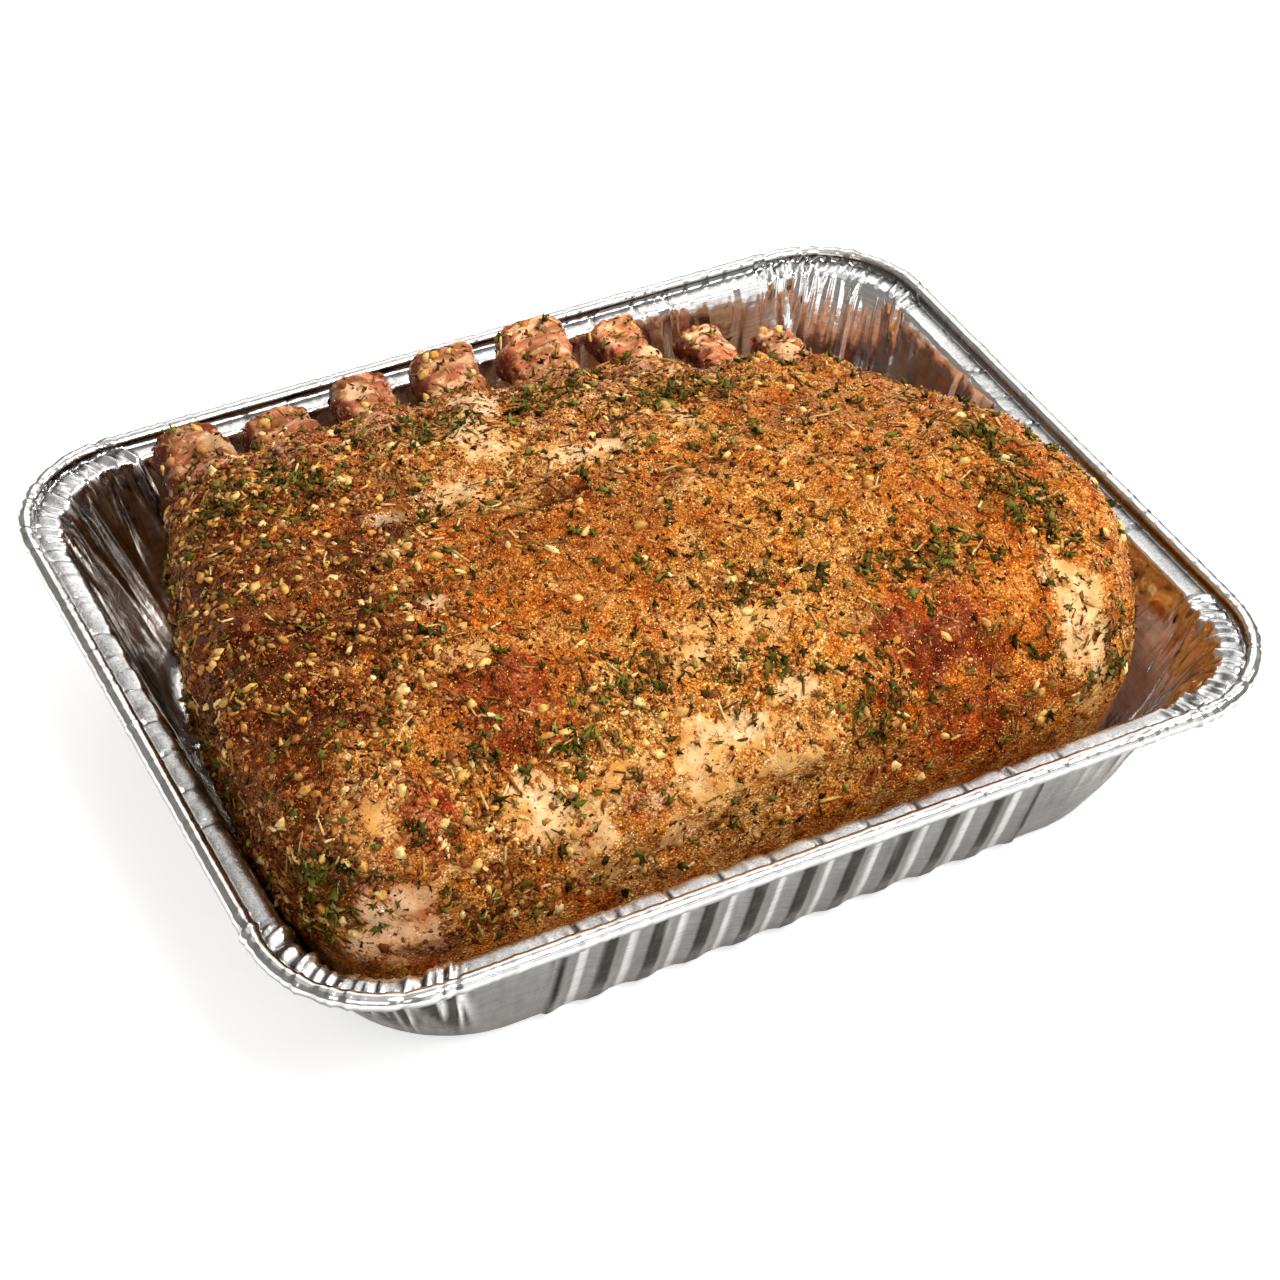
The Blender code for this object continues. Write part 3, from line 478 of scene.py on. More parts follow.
STAINS_AND_SHADE = (
    (YELLOW, (-30, -92, 76), (76, 26, 36), 0.6), (CREAM, (-34, -102, 66), (70, 14, 26), 0.25),
    (YELLOW, (20, -60, 95), (46, 24, 20), 0.5), (CRUST, (-40, -22, 98), (44, 30, 30), 0.8),
    (CRUST, (98, -40, 94), (26, 40, 24), 0.8), (CRUST, (70, 20, 90), (24, 20, 22), 0.5),
    (AMBER, (92, -76, 90), (18, 16, 20), 0.9), (FLESH, (-30, 72, 82), (110, 20, 18), 0.6),
    (CREAM, (-14, 48, 88), (52, 34, 18), 0.4),
    (BROWN, (-112, 15, 92), (40, 66, 34), 0.95), (BROWN, (-134, -35, 86), (26, 60, 40), 0.95),
    (BROWN, (-70, 30, 90), (20, 26, 20), 0.7), (PALE_SIDE, (0, 98, 44), (150, 22, 24), 1.0),
    (PALE_SIDE, (124, 40, 40), (16, 80, 26), 0.9),
    (PALE_SIDE, (136, -60, 22), (22, 70, 22), 0.9),
    # Painted shade: MAROON low along the left end, and the DARK spots below as shadows between the rub's
    # lumps.
    (MAROON, (-142, -10, 34), (22, 110, 30), 0.9), (FLESH, (-118, -88, 78), (20, 14, 16), 0.5),
    (DARK, (-91, 1, 96), (16, 11, 18), 0.85), (DARK, (-134, -30, 90), (15, 22, 18), 0.75),
    (DARK, (-104, -22, 96), (18, 13, 20), 0.75), (DARK, (-118, -50, 94), (14, 14, 16), 0.75),
    (DARK, (-139, -90, 66), (13, 15, 22), 0.7), (DARK, (-70, 18, 93), (16, 8, 16), 0.6),
    (DARK, (-120, 20, 91), (12, 10, 16), 0.6), (DARK, (-108, 48, 87), (14, 8, 16), 0.5),
    (AMBER, (-91, 35, 89), (13, 10, 14), 0.9), (AMBER, (-104, -6, 96), (10, 7, 12), 0.5),
    (RUST, (-77, -62, 96), (22, 16, 20), 0.95), (RUST, (-76, -75, 93), (18, 16, 18), 0.9),
    (BROWN, (-77, -66, 95), (20, 18, 18), 0.4),
    (RUST, (-108, -92, 83), (10, 14, 18), 1.1), (PINK, (-106, -95, 80), (4, 6, 9), 0.7),
    (CRUST, (-88, -89, 87), (10, 10, 12), 0.7), (AMBER, (-60, -40, 98), (16, 10, 16), 0.85),
    (GOLD, (-98, -70, 94), (12, 16, 14), 0.9), (CREAM, (-122, -86, 86), (14, 12, 14), 0.75),
    (YELLOW, (-112, -70, 93), (10, 10, 10), 0.8), (BARE, (-125, -100, 56), (17, 10, 14), 1.0),
    (BARE, (-118, -102, 66), (8, 5, 5), 0.7), (PINK, (-113, -103, 60), (7, 5, 3), 0.6),
    (CREAM, (-104, -104, 66), (12, 6, 8), 0.8), (GOLD, (-90, -105, 60), (26, 8, 9), 0.85),
    (AMBER, (-84, -105, 62), (14, 6, 6), 0.5), (CREAM, (-75, -98, 78), (16, 8, 10), 0.85),
    (WHITE_FAT, (-73, -98, 76), (8, 6, 7), 0.9), (WHITE_FAT, (-62, -103, 68), (8, 6, 6), 0.5),
    (WHITE_FAT, (-77, -92, 84), (5, 4, 5), 0.7), (CREAM, (-55, -97, 78), (10, 7, 9), 0.6),
    (CREAM, (-62, -106, 57), (20, 5, 6), 0.6), (PINK, (-43, -101, 74), (8, 5, 7), 0.9),
    (CREAM, (-20, -98, 76), (26, 12, 13), 0.9), (CREAM, (6, -101, 73), (14, 10, 10), 0.85),
    (WHITE_FAT, (-13, -94, 82), (11, 6, 6), 0.85), (WHITE_FAT, (-30, -99, 75), (7, 5, 7), 0.6),
    (WHITE_FAT, (7, -91, 85), (7, 4, 5), 0.7), (WHITE_FAT, (-36, -105, 60), (9, 4, 5), 0.6),
    (CREAM, (2, -71, 94), (20, 9, 10), 0.85), (CREAM, (-17, -71, 94), (12, 8, 10), 0.8),
    (YELLOW, (22, -76, 93), (12, 8, 10), 0.7), (YELLOW, (22, -104, 62), (20, 8, 14), 0.7),
    (AMBER, (52, -99, 74), (26, 13, 24), 0.9), (CRUST, (40, -104, 60), (14, 8, 10), 0.7),
    (RUST, (56, -89, 86), (24, 15, 15), 1.0), (RUST, (64, -103, 62), (22, 9, 12), 0.9),
    (BURNT, (58, -92, 84), (17, 10, 11), 0.75), (BURNT, (48, -87, 89), (13, 7, 8), 0.7),
    (BURNT, (71, -97, 79), (6, 7, 13), 0.75), (BURNT, (38, -82, 90), (9, 5, 6), 0.5),
    (RUST, (38, -105, 56), (20, 6, 6), 0.6), (AMBER, (84, -95, 78), (10, 12, 18), 0.85),
    (CREAM, (104, -94, 74), (12, 17, 26), 1.0), (WHITE_FAT, (104, -96, 72), (9, 11, 17), 0.9),
    (CREAM, (100, -80, 88), (6, 8, 6), 0.7), (CREAM, (106, -102, 52), (10, 8, 10), 0.8),
    (GOLD, (50, -34, 98), (30, 24, 20), 0.6), (YELLOW, (19, -12, 100), (16, 10, 16), 0.6),
    (YELLOW, (-28, 8, 95), (12, 8, 12), 0.5), (CREAM, (-45, 27, 89), (14, 11, 10), 0.85),
    (WHITE_FAT, (-46, 27, 89), (10, 5, 8), 0.9), (CREAM, (-35, 14, 93), (9, 8, 9), 0.7),
    (CREAM, (-26, 52, 88), (9, 24, 13), 0.85), (WHITE_FAT, (-27, 54, 89), (6, 15, 10), 0.8),
    (WHITE_FAT, (-16, 80, 80), (7, 9, 10), 0.85), (CREAM, (0, 25, 91), (22, 8, 10), 0.8),
    (WHITE_FAT, (2, 27, 91), (15, 4, 8), 0.85), (PINK, (8, 35, 90), (12, 4, 8), 0.7),
    (PINK, (7, 80, 79), (11, 8, 10), 0.8), (FLESH, (30, 70, 80), (10, 12, 12), 0.8),
    (PINK, (-62, 64, 87), (6, 10, 8), 0.8), (CREAM, (34, 28, 89), (7, 18, 10), 0.8),
    # Painted shade: DARK behind the membrane's curled lip and, on the next line, in the torn pocket.
    (WHITE_FAT, (35, 32, 89), (4, 8, 8), 0.8), (DARK, (-30, 14, 94), (10, 3, 6), 0.6),
    (BROWN, (-20, 4, 96), (12, 6, 9), 0.9), (DARK, (-20, 3, 96), (10, 4, 8), 1.2),
    (RAW, (-17, 2, 96), (6, 3, 8), 0.5), (WHITE_FAT, (-75, -26, 98), (6, 5, 8), 0.95),
    (CREAM, (-78, -49, 97), (12, 5, 8), 0.9), (WHITE_FAT, (-68, 23, 91), (8, 4, 8), 0.4),
    (RAW, (-114, 82, 66), (9, 20, 16), 0.8), (PINK, (-117, 82, 72), (6, 16, 7), 0.7),
    # Painted shade: DARK low along the front, just above the rim.
    (DARK, (-113, -105, 47), (14, 5, 4), 0.8), (DARK, (56, -106, 44), (50, 6, 5), 0.4),
    (PINK, (-47, 82, 82), (5, 12, 10), 0.8), (CREAM, (46, 72, 80), (6, 18, 10), 0.75),
    (FLESH, (-100, 84, 80), (10, 9, 10), 0.8), (PINK, (-72, 84, 82), (8, 7, 10), 0.6),
    (WHITE_FAT, (-20, 70, 84), (6, 22, 10), 0.85), (FLESH, (14, 84, 80), (9, 8, 10), 0.8),
    (GOLD, (96, -20, 97), (18, 22, 16), 0.7), (YELLOW, (40, -48, 96), (18, 12, 14), 0.6),
    (RIB_MEAT, (-104, 84, 78), (8, 10, 9), 0.8), (RIB_MEAT, (-74, 86, 80), (7, 8, 9), 0.8),
    (RIB_MEAT, (-48, 79, 83), (6, 13, 9), 0.9), (RIB_MEAT, (13, 84, 79), (7, 9, 8), 0.9),
    (RIB_MEAT, (44, 75, 80), (6, 14, 9), 0.9), (RIB_MEAT, (72, 77, 72), (6, 12, 9), 0.9),
    (RIB_MEAT, (99, 75, 65), (7, 14, 9), 0.9),
)
POCKET, POCKET_REACH, POCKET_DEPTH = (-20, 4), (9, 3.4), 2.6 * MM  # a torn pocket in the membrane
LIP, LIP_REACH, LIP_HEIGHT = (-20, 9), (11, 3), 1.8 * MM  # the membrane's curled edge behind it
SLIT_X, SLIT_Z, SLIT_HALF, SLIT_DEPTH = 70.0, (70, 87), 0.8, 1.6 * MM  # a knife slit in the burnt fat
VALLEY_HALF, VALLEY_DEPTH = 6 * MM, 1.5 * MM  # between the ribs, behind the loin's crest
SHOWN_FROM = 40 * MM  # below this height the tin hides the meat


def through(knots, values, at):
    """A smooth curve through the knots: cubic Hermite pieces with Catmull-Rom slopes."""
    knots, values = np.asarray(knots, float) * MM, np.asarray(values, float) * MM
    slopes = np.gradient(values, knots)
    at = np.clip(at, knots[0], knots[-1])
    i = np.clip(np.searchsorted(knots, at, side="right") - 1, 0, len(knots) - 2)
    h = knots[i + 1] - knots[i]
    t = (at - knots[i]) / h
    return ((2 * t**3 - 3 * t**2 + 1) * values[i] + (t**3 - 2 * t**2 + t) * h * slopes[i]
            + (3 * t**2 - 2 * t**3) * values[i + 1] + (t**3 - t**2) * h * slopes[i + 1])


def loin_section():
    """The cross-section as a closed Catmull-Rom curve, with most of its points where it shows."""
    p = np.array(SECTION) * MM
    fine = 48
    t = np.tile(np.arange(fine) / fine, len(p))[:, None]
    a, b, c, d = (np.repeat(np.roll(p, k, axis=0), fine, axis=0) for k in (1, 0, -1, -2))
    curve = 0.5 * (2 * b + (c - a) * t + (2 * a - 5 * b + 4 * c - d) * t**2 + (3 * b - a - 3 * c + d) * t**3)
    loop = np.vstack([curve, curve[:1]])
    run = np.concatenate([[0.0], np.cumsum(np.linalg.norm(np.diff(loop, axis=0), axis=1))])
    shown_end = run[9 * fine]
    shown = int(LOIN_AROUND * SHOWN_SHARE)
    want = np.concatenate([np.linspace(0, shown_end, shown, endpoint=False),
                           np.linspace(shown_end, run[-1], LOIN_AROUND - shown, endpoint=False)])
    return np.stack([np.interp(want, run, loop[:, k]) for k in range(2)], axis=1)


def end_profile(power, count):
    """(along, across) shares of a rounded end, evenly spaced along its superellipse quarter."""
    angle = np.linspace(0, math.pi / 2, 900)
    along, across = np.sin(angle) ** (2 / power), np.cos(angle) ** (2 / power)
    run = np.concatenate([[0], np.cumsum(np.hypot(np.diff(along) * 2.2, np.diff(across)))])
    want = np.linspace(0, run[-1], count)
    return np.interp(want, run, along), np.interp(want, run, across)


def swell(points, wavelength, waves, seed):
    """Smooth unevenness, about -1 to 1: a sum of sine waves in random directions."""
    rng = np.random.default_rng(seed)
    total = np.zeros(len(points))
    for _ in range(waves):
        direction = rng.normal(size=3)
        direction *= 2 * math.pi / (wavelength * np.linalg.norm(direction) * rng.uniform(0.7, 1.4))
        total += np.sin(points @ direction + rng.uniform(0, 2 * math.pi))
    return total / math.sqrt(waves)


def rib_axis_x(index, y):
    """Where a rib's middle line runs: ribs slant a little across the rack."""
    tip = FIRST_RIB_X + RIB_PITCH * index + RIB_SHIFT[index] * MM
    return tip - RIB_SLANT[index] * MM * (RIB_TIP_Y[index] * MM - y) / (30 * MM)


def loin_form():
    """The loin's form before its crust: cross-sections carried along X between two curved ends, drawn
    in by a superellipse, lifted over the ribs, falling to the back right, and gently lumpy."""
    section = loin_section()
    left, right = (end_profile(p, LOIN_STATIONS // 2) for p in END_SQUARENESS)
    along = np.concatenate([-left[0][::-1], right[0][1:]])
    across = np.concatenate([left[1][::-1], right[1][1:]])
    along, across = along[across > END_CAP], across[across > END_CAP]
    y = CORE_Y + across[:, None] * (section[:, 0] - CORE_Y)
    z = CORE_Z + across[:, None] * (section[:, 1] - CORE_Z)
    low, high = through(END_KNOTS, LEFT_END, y), through(END_KNOTS, RIGHT_END, y)
    x = (low + high) / 2 + along[:, None] * (high - low) / 2
    back = ease(y, 60 * MM, 30 * MM)
    for start, reach, depth in BACK_STEPS:
        y = y - back * depth * MM * ease(x, start * MM, reach * MM)
    x -= WALL_TUCK * np.clip(TUCK_TOP - z, 0, None) * along[:, None]
    top = ease(z, CORE_Z, 30 * MM)
    z -= BACK_RIGHT_FALL * top * ease(x, 10 * MM, 100 * MM) * ease(y, -40 * MM, 130 * MM)
    over_ribs = top * ease(y, 20 * MM, 60 * MM)
    for k in range(RIBS):
        z += RIB_RIDGE * over_ribs * bell((x - rib_axis_x(k, y)) / RIB_RIDGE_HALF)
    points = np.stack([x, y, z], axis=-1).reshape(-1, 3)
    up = ease(points[:, 2], CORE_Z, 20 * MM)
    points[:, 2] += up * LUMP * swell(points, 75 * MM, 6, 3)
    outward = points * (0.2, 1, 1) - (0, CORE_Y, CORE_Z)
    outward /= np.linalg.norm(outward, axis=1)[:, None]
    points += outward * (up * CRAG * swell(points, 20 * MM, 8, 5))[:, None]
    points[:, 2] = np.maximum(points[:, 2], REST_HEIGHT)
    return points.reshape(x.shape + (3,))


def grid_normals(rings):
    """Outward unit normals of a closed grid, from the cross product of its two directions."""
    down = np.gradient(rings, axis=0)
    across = np.roll(rings, -1, 1) - np.roll(rings, 1, 1)
    normal = np.cross(down, across)
    normal /= np.linalg.norm(normal, axis=-1, keepdims=True) + 1e-12
    middle = rings.reshape(-1, 3).mean(0)
    if np.einsum("ijk,ijk->ij", normal, rings - middle).mean() < 0:
        normal = -normal
    return normal


def patch(points, middle, reach):
    """A soft spot exp(-d^3), with d the distance from its middle in shares of its reach."""
    d = (points - np.array(middle) * MM) / (np.array(reach) * MM)
    return np.exp(-np.einsum("ij,ij->i", d, d) ** 1.5)


def wash(colours, tint, share):
    """Lays a tint over the colours, by its share at each point."""
    colours += (tint - colours) * share[:, None]


def stained_and_shaded(points):
    """Colour of the fat cap: gold mottled with crust, then the table's stains and patches of painted
    shade in turn, each laid over with a ragged edge (its soft spot plus noise, through a smooth step),
    and how thickly the rub lies there, which is least on the pale bare fat."""
    ragged = ripple(points, 9 * MM, 21, 4) + 0.5 * ripple(points, 3.2 * MM, 25, 2)
    uneven = 0.85 + 0.35 * ripple(points, 5 * MM, 26, 3)
    wander = np.stack([ripple(points, 15 * MM, s, 2) for s in (22, 23, 24)], 1) * 6 * MM
    colour = np.tile(np.array(GOLD), (len(points), 1))
    mottles = ((CRUST, 22, 31, 0.5), (YELLOW, 14, 33, 0.1), (AMBER, 10, 34, 0.0), (RUST, 7, 35, -0.3))
    for tint, size, seed, middle in mottles:
        wash(colour, tint, 0.75 * smooth(ripple(points, size * MM, seed, 4) * 1.6 + middle))
    for stain_and_shade, middle, reach, strength in STAINS_AND_SHADE:
        spot = patch(points + wander * min(1.0, min(reach) / 12), middle, reach)
        share = smooth(1.8 * spot - 0.3 + 0.7 * ragged) * smooth(spot / 0.3)
        wash(colour, stain_and_shade, np.clip(share * strength * uneven, 0, 1))
    blue = colour[:, 2].copy()
    pale = ease(blue, 0.050, 0.055)
    dust = smooth(1.9 * ripple(points, 8 * MM, 36, 4) + 0.5 * ripple(points, 2.2 * MM, 37, 2) + 0.12)
    dust *= 1 - 0.85 * ease(blue, 0.14, 0.09)
    wash(colour, GOLD, 0.7 * dust * pale)
    pale *= 1 - 0.75 * dust
    colour = colour ** (1 - 0.30 * ripple(points, 7 * MM, 32, 3))[:, None]
    return np.clip(colour, 0.002, 1), 1 - 0.85 * pale


def oval(points, middle, reach):
    """Squared distance on the plan from a middle, in shares of the reach along X and Y, in mm."""
    return (((points[:, :2] / MM - middle) / reach) ** 2).sum(1)


form = loin_form()
flat_form = form.reshape(-1, 3)
loin_colour, rub_cover = stained_and_shaded(flat_form)
shows = ease(flat_form[:, 2], SHOWN_FROM, 14 * MM)
crust = sum(height * MM * ripple(flat_form, size * MM, seed, octaves)
            for size, seed, octaves, height in ((19, 43, 2, 1.3), (8, 41, 3, 0.9), (2.6, 42, 2, 0.34)))
crust *= shows * (0.45 + 0.55 * rub_cover)
pocket = bell(oval(flat_form, POCKET, POCKET_REACH)) * shows
lip = bell(oval(flat_form, LIP, LIP_REACH))
slit = bell((flat_form[:, 0] / MM - SLIT_X) / SLIT_HALF) * (flat_form[:, 1] < -80 * MM)
slit *= ease(flat_form[:, 2] / MM, SLIT_Z[0], 4) * ease(-flat_form[:, 2] / MM, -SLIT_Z[1], 4)
valley = np.zeros(len(flat_form))
for k in range(RIBS - 1):
    middle = (rib_axis_x(k, flat_form[:, 1]) + rib_axis_x(k + 1, flat_form[:, 1])) / 2
    valley = np.maximum(valley, bell((flat_form[:, 0] - middle) / VALLEY_HALF))
valley *= ease(flat_form[:, 1], 48 * MM, 34 * MM) * shows
heights = crust - POCKET_DEPTH * pocket + LIP_HEIGHT * lip - SLIT_DEPTH * slit - VALLEY_DEPTH * valley
loin_points = form + (grid_normals(form).reshape(-1, 3) * heights[:, None]).reshape(form.shape)
loin_points[..., 2] = np.maximum(loin_points[..., 2], REST_HEIGHT)


def seasoned_finish(name, wetness, bleed):
    """Rubbed fat or meat: the painted colour of stains and painted shade, broken up where the rub covers
    it by sandy crumbs of spice, some amber and some nearly black, with painted shade in the gaps
    between them and painted glints on a few, and smooth, faintly veined and moist where it is bare."""
    fat = Finish(name, 0.4, Specular_IOR_Level=wetness, Specular_Tint=(1.0, 0.60, 0.30, 1),
                 Subsurface_Weight=bleed, Subsurface_Scale=0.003, Subsurface_Radius=(1.0, 0.4, 0.15))
    stain_and_shade, cover = fat.attribute("stain_and_shade"), fat.attribute("cover", "Fac")
    crumb, gap = fat.split(fat.cells(0.7 * MM)), fat.cells(0.7 * MM, "Distance")
    sandy = fat.times(stain_and_shade, fat.mix(crumb[0], (0.62, 0.44, 0.22), (1.38, 1.58, 1.95)))
    # Painted shade: darker in the gaps between the crumbs.
    between = fat.mix(fat.ramp(gap, 0.25, 0.75), (1.12, 1.18, 1.30), (0.68, 0.52, 0.32))
    sandy = fat.times(sandy, between)
    # Painted glints: about one crumb in ten lightened and paled.
    sandy = fat.mix(fat.ramp(crumb[1], 0.90, 0.93), sandy, fat.times(sandy, (1.5, 1.9, 2.8)))
    sandy = fat.mix(fat.ramp(crumb[2], 0.93, 0.95, 0, 0.8), sandy, (0.10, 0.024, 0.006))
    for size, detail, low, high, most, tint in (
        (4.5, 5, 0.55, 0.63, 0.85, (0.54, 0.36, 0.20)),  # dark blotches
        (8, 4, 0.53, 0.62, 1.0, (1.12, 0.95, 0.65)),  # an orange glow
        (13, 4, 0.48, 0.60, 1.0, (1.18, 1.32, 1.50)),  # a pale veil
    ):
        share = fat.ramp(fat.noise(size * MM, detail), low, high, 0, most)
        sandy = fat.mix(share, sandy, fat.times(sandy, tint))
    bare = fat.shaded(stain_and_shade, fat.ramp(fat.noise(5 * MM, 5), 0.35, 0.65, 0.82, 1.12))
    bare = fat.mix(fat.ramp(fat.noise(3 * MM, 4), 0.58, 0.70, 0, 0.6), bare, (0.80, 0.58, 0.33))
    bare = fat.mix(fat.ramp(fat.noise(1.7 * MM, 3), 0.60, 0.68, 0, 0.7), bare, (0.38, 0.115, 0.018))
    edge = fat.maths("ADD", cover, fat.ramp(fat.noise(2.4 * MM, 4), 0.3, 0.7, -0.45, 0.4))
    edge = fat.ramp(edge, 0.25, 0.5)
    fat.link(fat.mix(edge, bare, sandy), "Base Color")
    fat.link(fat.ramp(fat.noise(1.2 * MM, 3), 0.35, 0.65, 0.14, 0.45), "Roughness")
    soft = fat.bump(fat.noise(3.2 * MM, 4), 1.2 * MM, 0.6)
    grains = fat.maths("MULTIPLY", gap, fat.ramp(edge, 0, 1, 0.15, 1))
    fat.link(fat.bump(grains, -0.6 * MM, 1.0, soft), "Normal")
    return fat.material


loin = skin("loin_with_rub", loin_points, seasoned_finish("seasoned_fat", 0.12, 0.10))
paint(loin, "stain_and_shade", loin_colour)
paint(loin, "cover", np.repeat(rub_cover[:, None], 3, 1))
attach(loin, "root")
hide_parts("seasoned_meat")

# ---- The rib ends --------------------------------------------------------------------------------
# Eight rib bones with the meat left on, sawn off square. Their tops are tanned and pink with bands
# of cream fat and painted shade in their folds, their left sides and undersides are dark red lean
# deepened with painted shade, and the sawn face shows the bone's porous heart.
RIB_TIP_TOP = (74.5, 71.0, 74.0, 75.5, 77.0, 70.0, 61.5, 56.5)
RIB_SEAT_TOP = (73.0, 73.0, 74.0, 74.5, 74.0, 69.0, 62.0, 57.0)
RIB_HALF_WIDTH = (11.5, 11.5, 10.5, 11.5, 11.5, 9.0, 9.0, 7.5)
RIB_HALF_THICK = (7.0, 7.0, 6.8, 7.0, 7.4, 6.8, 6.6, 5.8)
RIB_BURIED, RIB_MOUTH_Y = 42 * MM, 88 * MM
RIB_AROUND, RIB_ALONG, RIB_FACE = 72, 84, 12
RIB_SQUARENESS, FOLD_DEPTH = 0.70, 0.9 * MM
RIB_SEAT, RIB_SINK = 0.42, 4 * MM  # the share of its length outside the loin, and its fall within
RIB_GRAIN = (0.25, 1.0, 0.5)  # folds and bands run across a rib: slow along X, quick along Y
# The dark red lean here is also painted shade on the left flank and underneath.
TAN, ROSE, LEAN_RED_AND_SHADE = (0.46, 0.185, 0.080), (0.42, 0.105, 0.052), (0.10, 0.010, 0.006)
BONE, MARROW, FAT_BAND = (0.54, 0.34, 0.17), (0.26, 0.062, 0.030), (0.70, 0.43, 0.22)
# The first of these is painted shade along each fold.
FOLD_SHADE, BROWNED = (0.18, 0.036, 0.012), (0.20, 0.062, 0.012)
RIB_TONE = (0.80, 0.96, 1.0, 1.1, 1.2, 1.45, 1.3, 1.15)
RIB_FAT = (-0.65, -0.2, 0.0, 0.1, 0.25, 0.45, 0.2, 0.0)  # more or less of the cream streaks
RIB_BARE = (27, 24, 29, 29, 31, 30, 28, 24)  # length of each tip that the rub leaves bare, in mm


def rib_folds(points, index):
    """How far a point is from a fold across the rib: 0 where the noise passes through zero."""
    return np.abs(ripple(points * RIB_GRAIN, 8 * MM, 95 + index, 2))


def rib_surface(index):
    """One rib's rings from the middle of the sawn face out to its edge, then back to the buried end.
    Sections are squared ovals whose width falls off inside the loin. The skin is lumpy, with folds
    across it where noise passes through zero, and the sawn edge is ragged. Also returns, for each
    point, its share of the rib's length, its angle, and its share of the face's radius or 0."""
    sizes_by_rib = (RIB_TIP_Y, RIB_TIP_TOP, RIB_SEAT_TOP, RIB_HALF_WIDTH, RIB_HALF_THICK)
    tip_y, top, seat, wide, thick = (sizes[index] * MM for sizes in sizes_by_rib)
    length = tip_y - (RIB_MOUTH_Y - RIB_BURIED)
    face = np.linspace(0.06, 0.93, RIB_FACE)
    share = np.concatenate([np.zeros(RIB_FACE), np.linspace(0.004, 1, RIB_ALONG) ** 1.15])
    body = np.interp(share, [0, 0.035, 0.12, RIB_SEAT, 0.93, 1], [0.93, 0.98, 1.0, 0.90, 0.72, 0.5])
    scale = np.concatenate([face, body[RIB_FACE:]])
    angle = 2 * math.pi * np.arange(RIB_AROUND) / RIB_AROUND
    side, rise = (np.sign(wave) * np.abs(wave) ** RIB_SQUARENESS for wave in (np.cos(angle), np.sin(angle)))
    y = tip_y - share * length
    z = top + (seat - top) * np.minimum(1, share / RIB_SEAT) - thick
    z -= RIB_SINK * np.clip(share - RIB_SEAT, 0, 1) / (1 - RIB_SEAT)
    knobby = 1 + 0.06 * np.sin(5 * share + 1.7 * index)
    x = rib_axis_x(index, y)[:, None] + (wide * scale * knobby)[:, None] * side
    height = z[:, None] + (thick * scale**0.7)[:, None] * rise
    rings = np.stack([x, np.broadcast_to(y[:, None], x.shape), height], -1)
    flat = rings.reshape(-1, 3)
    share, scale = np.repeat(share, RIB_AROUND), np.repeat(scale, RIB_AROUND)
    sawn = np.repeat(np.arange(len(y)) < RIB_FACE, RIB_AROUND)
    lumps = ripple(flat, 14 * MM, 60 + index, 2) * 2.6 * MM + ripple(flat, 5 * MM, 80 + index, 3) * 0.8 * MM
    lift = np.where(sawn, lumps * 0.5, lumps - FOLD_DEPTH * np.exp(-10 * rib_folds(flat, index)))
    lift += 0.9 * MM * ripple(flat, 3.5 * MM, 70 + index, 2) * np.exp(-share / 0.04)
    points = flat + grid_normals(rings).reshape(-1, 3) * lift[:, None]
    return points.reshape(rings.shape), share, np.tile(angle, len(y)), scale * sawn


def rib_colours(points, share, angle, on_face, index):
    """Tan and rose over the top in bands across it, with streaks of cream and brown and a darker line of
    painted shade in each fold, dark red lean on the left flank and underneath, deepened as painted
    shade, and the loin's own crust and rub beyond the bare tip; on the sawn face bone, with marrow in
    its middle and lean round it. Returns the colour and how thickly the rub lies."""
    warp = ripple(points, 8 * MM, 120 + index, 3)
    colour = np.tile(np.array(TAN), (len(points), 1))
    wash(colour, ROSE, smooth(0.5 + 0.9 * np.sin(share * 34 + warp * 7 + index * 2.1)))
    for tint, size, seed, middle in ((FAT_BAND, 7, 140, RIB_FAT[index]), (BROWNED, 5, 150, -0.25)):
        streak = ripple(points * RIB_GRAIN * 1.3, size * MM, seed + index, 3)
        wash(colour, tint, 0.8 * smooth(3.2 * streak + middle))
    # Painted shade along each fold.
    wash(colour, FOLD_SHADE, 0.4 * np.exp(-14 * rib_folds(points, index)))
    # Dark red lean on the left flank and underneath, partly painted shade.
    left = smooth(-np.cos(angle) * 1.9 - np.sin(angle) * 0.5 - 0.3 + warp * 0.7)
    under = smooth(-np.sin(angle) * 1.6 + warp * 0.5)
    wash(colour, LEAN_RED_AND_SHADE, 0.9 * np.maximum(left * (np.cos(angle) < 0), under))
    bare_until = (RIB_TIP_Y[index] - RIB_BARE[index]) * MM
    rubbed = smooth((bare_until - points[:, 1]) / (7 * MM) + 0.5 + 0.9 * warp)
    crusted, rub = stained_and_shaded(points)
    wash(colour, crusted, 0.75 * rubbed * (1 - under))
    face = on_face > 0
    end = np.tile(np.array(ROSE) * 0.8, (len(points), 1))
    wash(end, BONE, smooth((0.62 - on_face + warp * 0.15) / 0.12))
    wash(end, MARROW, 0.8 * smooth((0.30 - on_face + warp * 0.12) / 0.12))
    colour[face] = end[face]
    colour *= RIB_TONE[index] * (1 + 0.16 * ripple(points, 2.6 * MM, 160 + index, 3))[:, None]
    return np.clip(colour, 0.002, 1), np.where(face, 0, rubbed * rub)


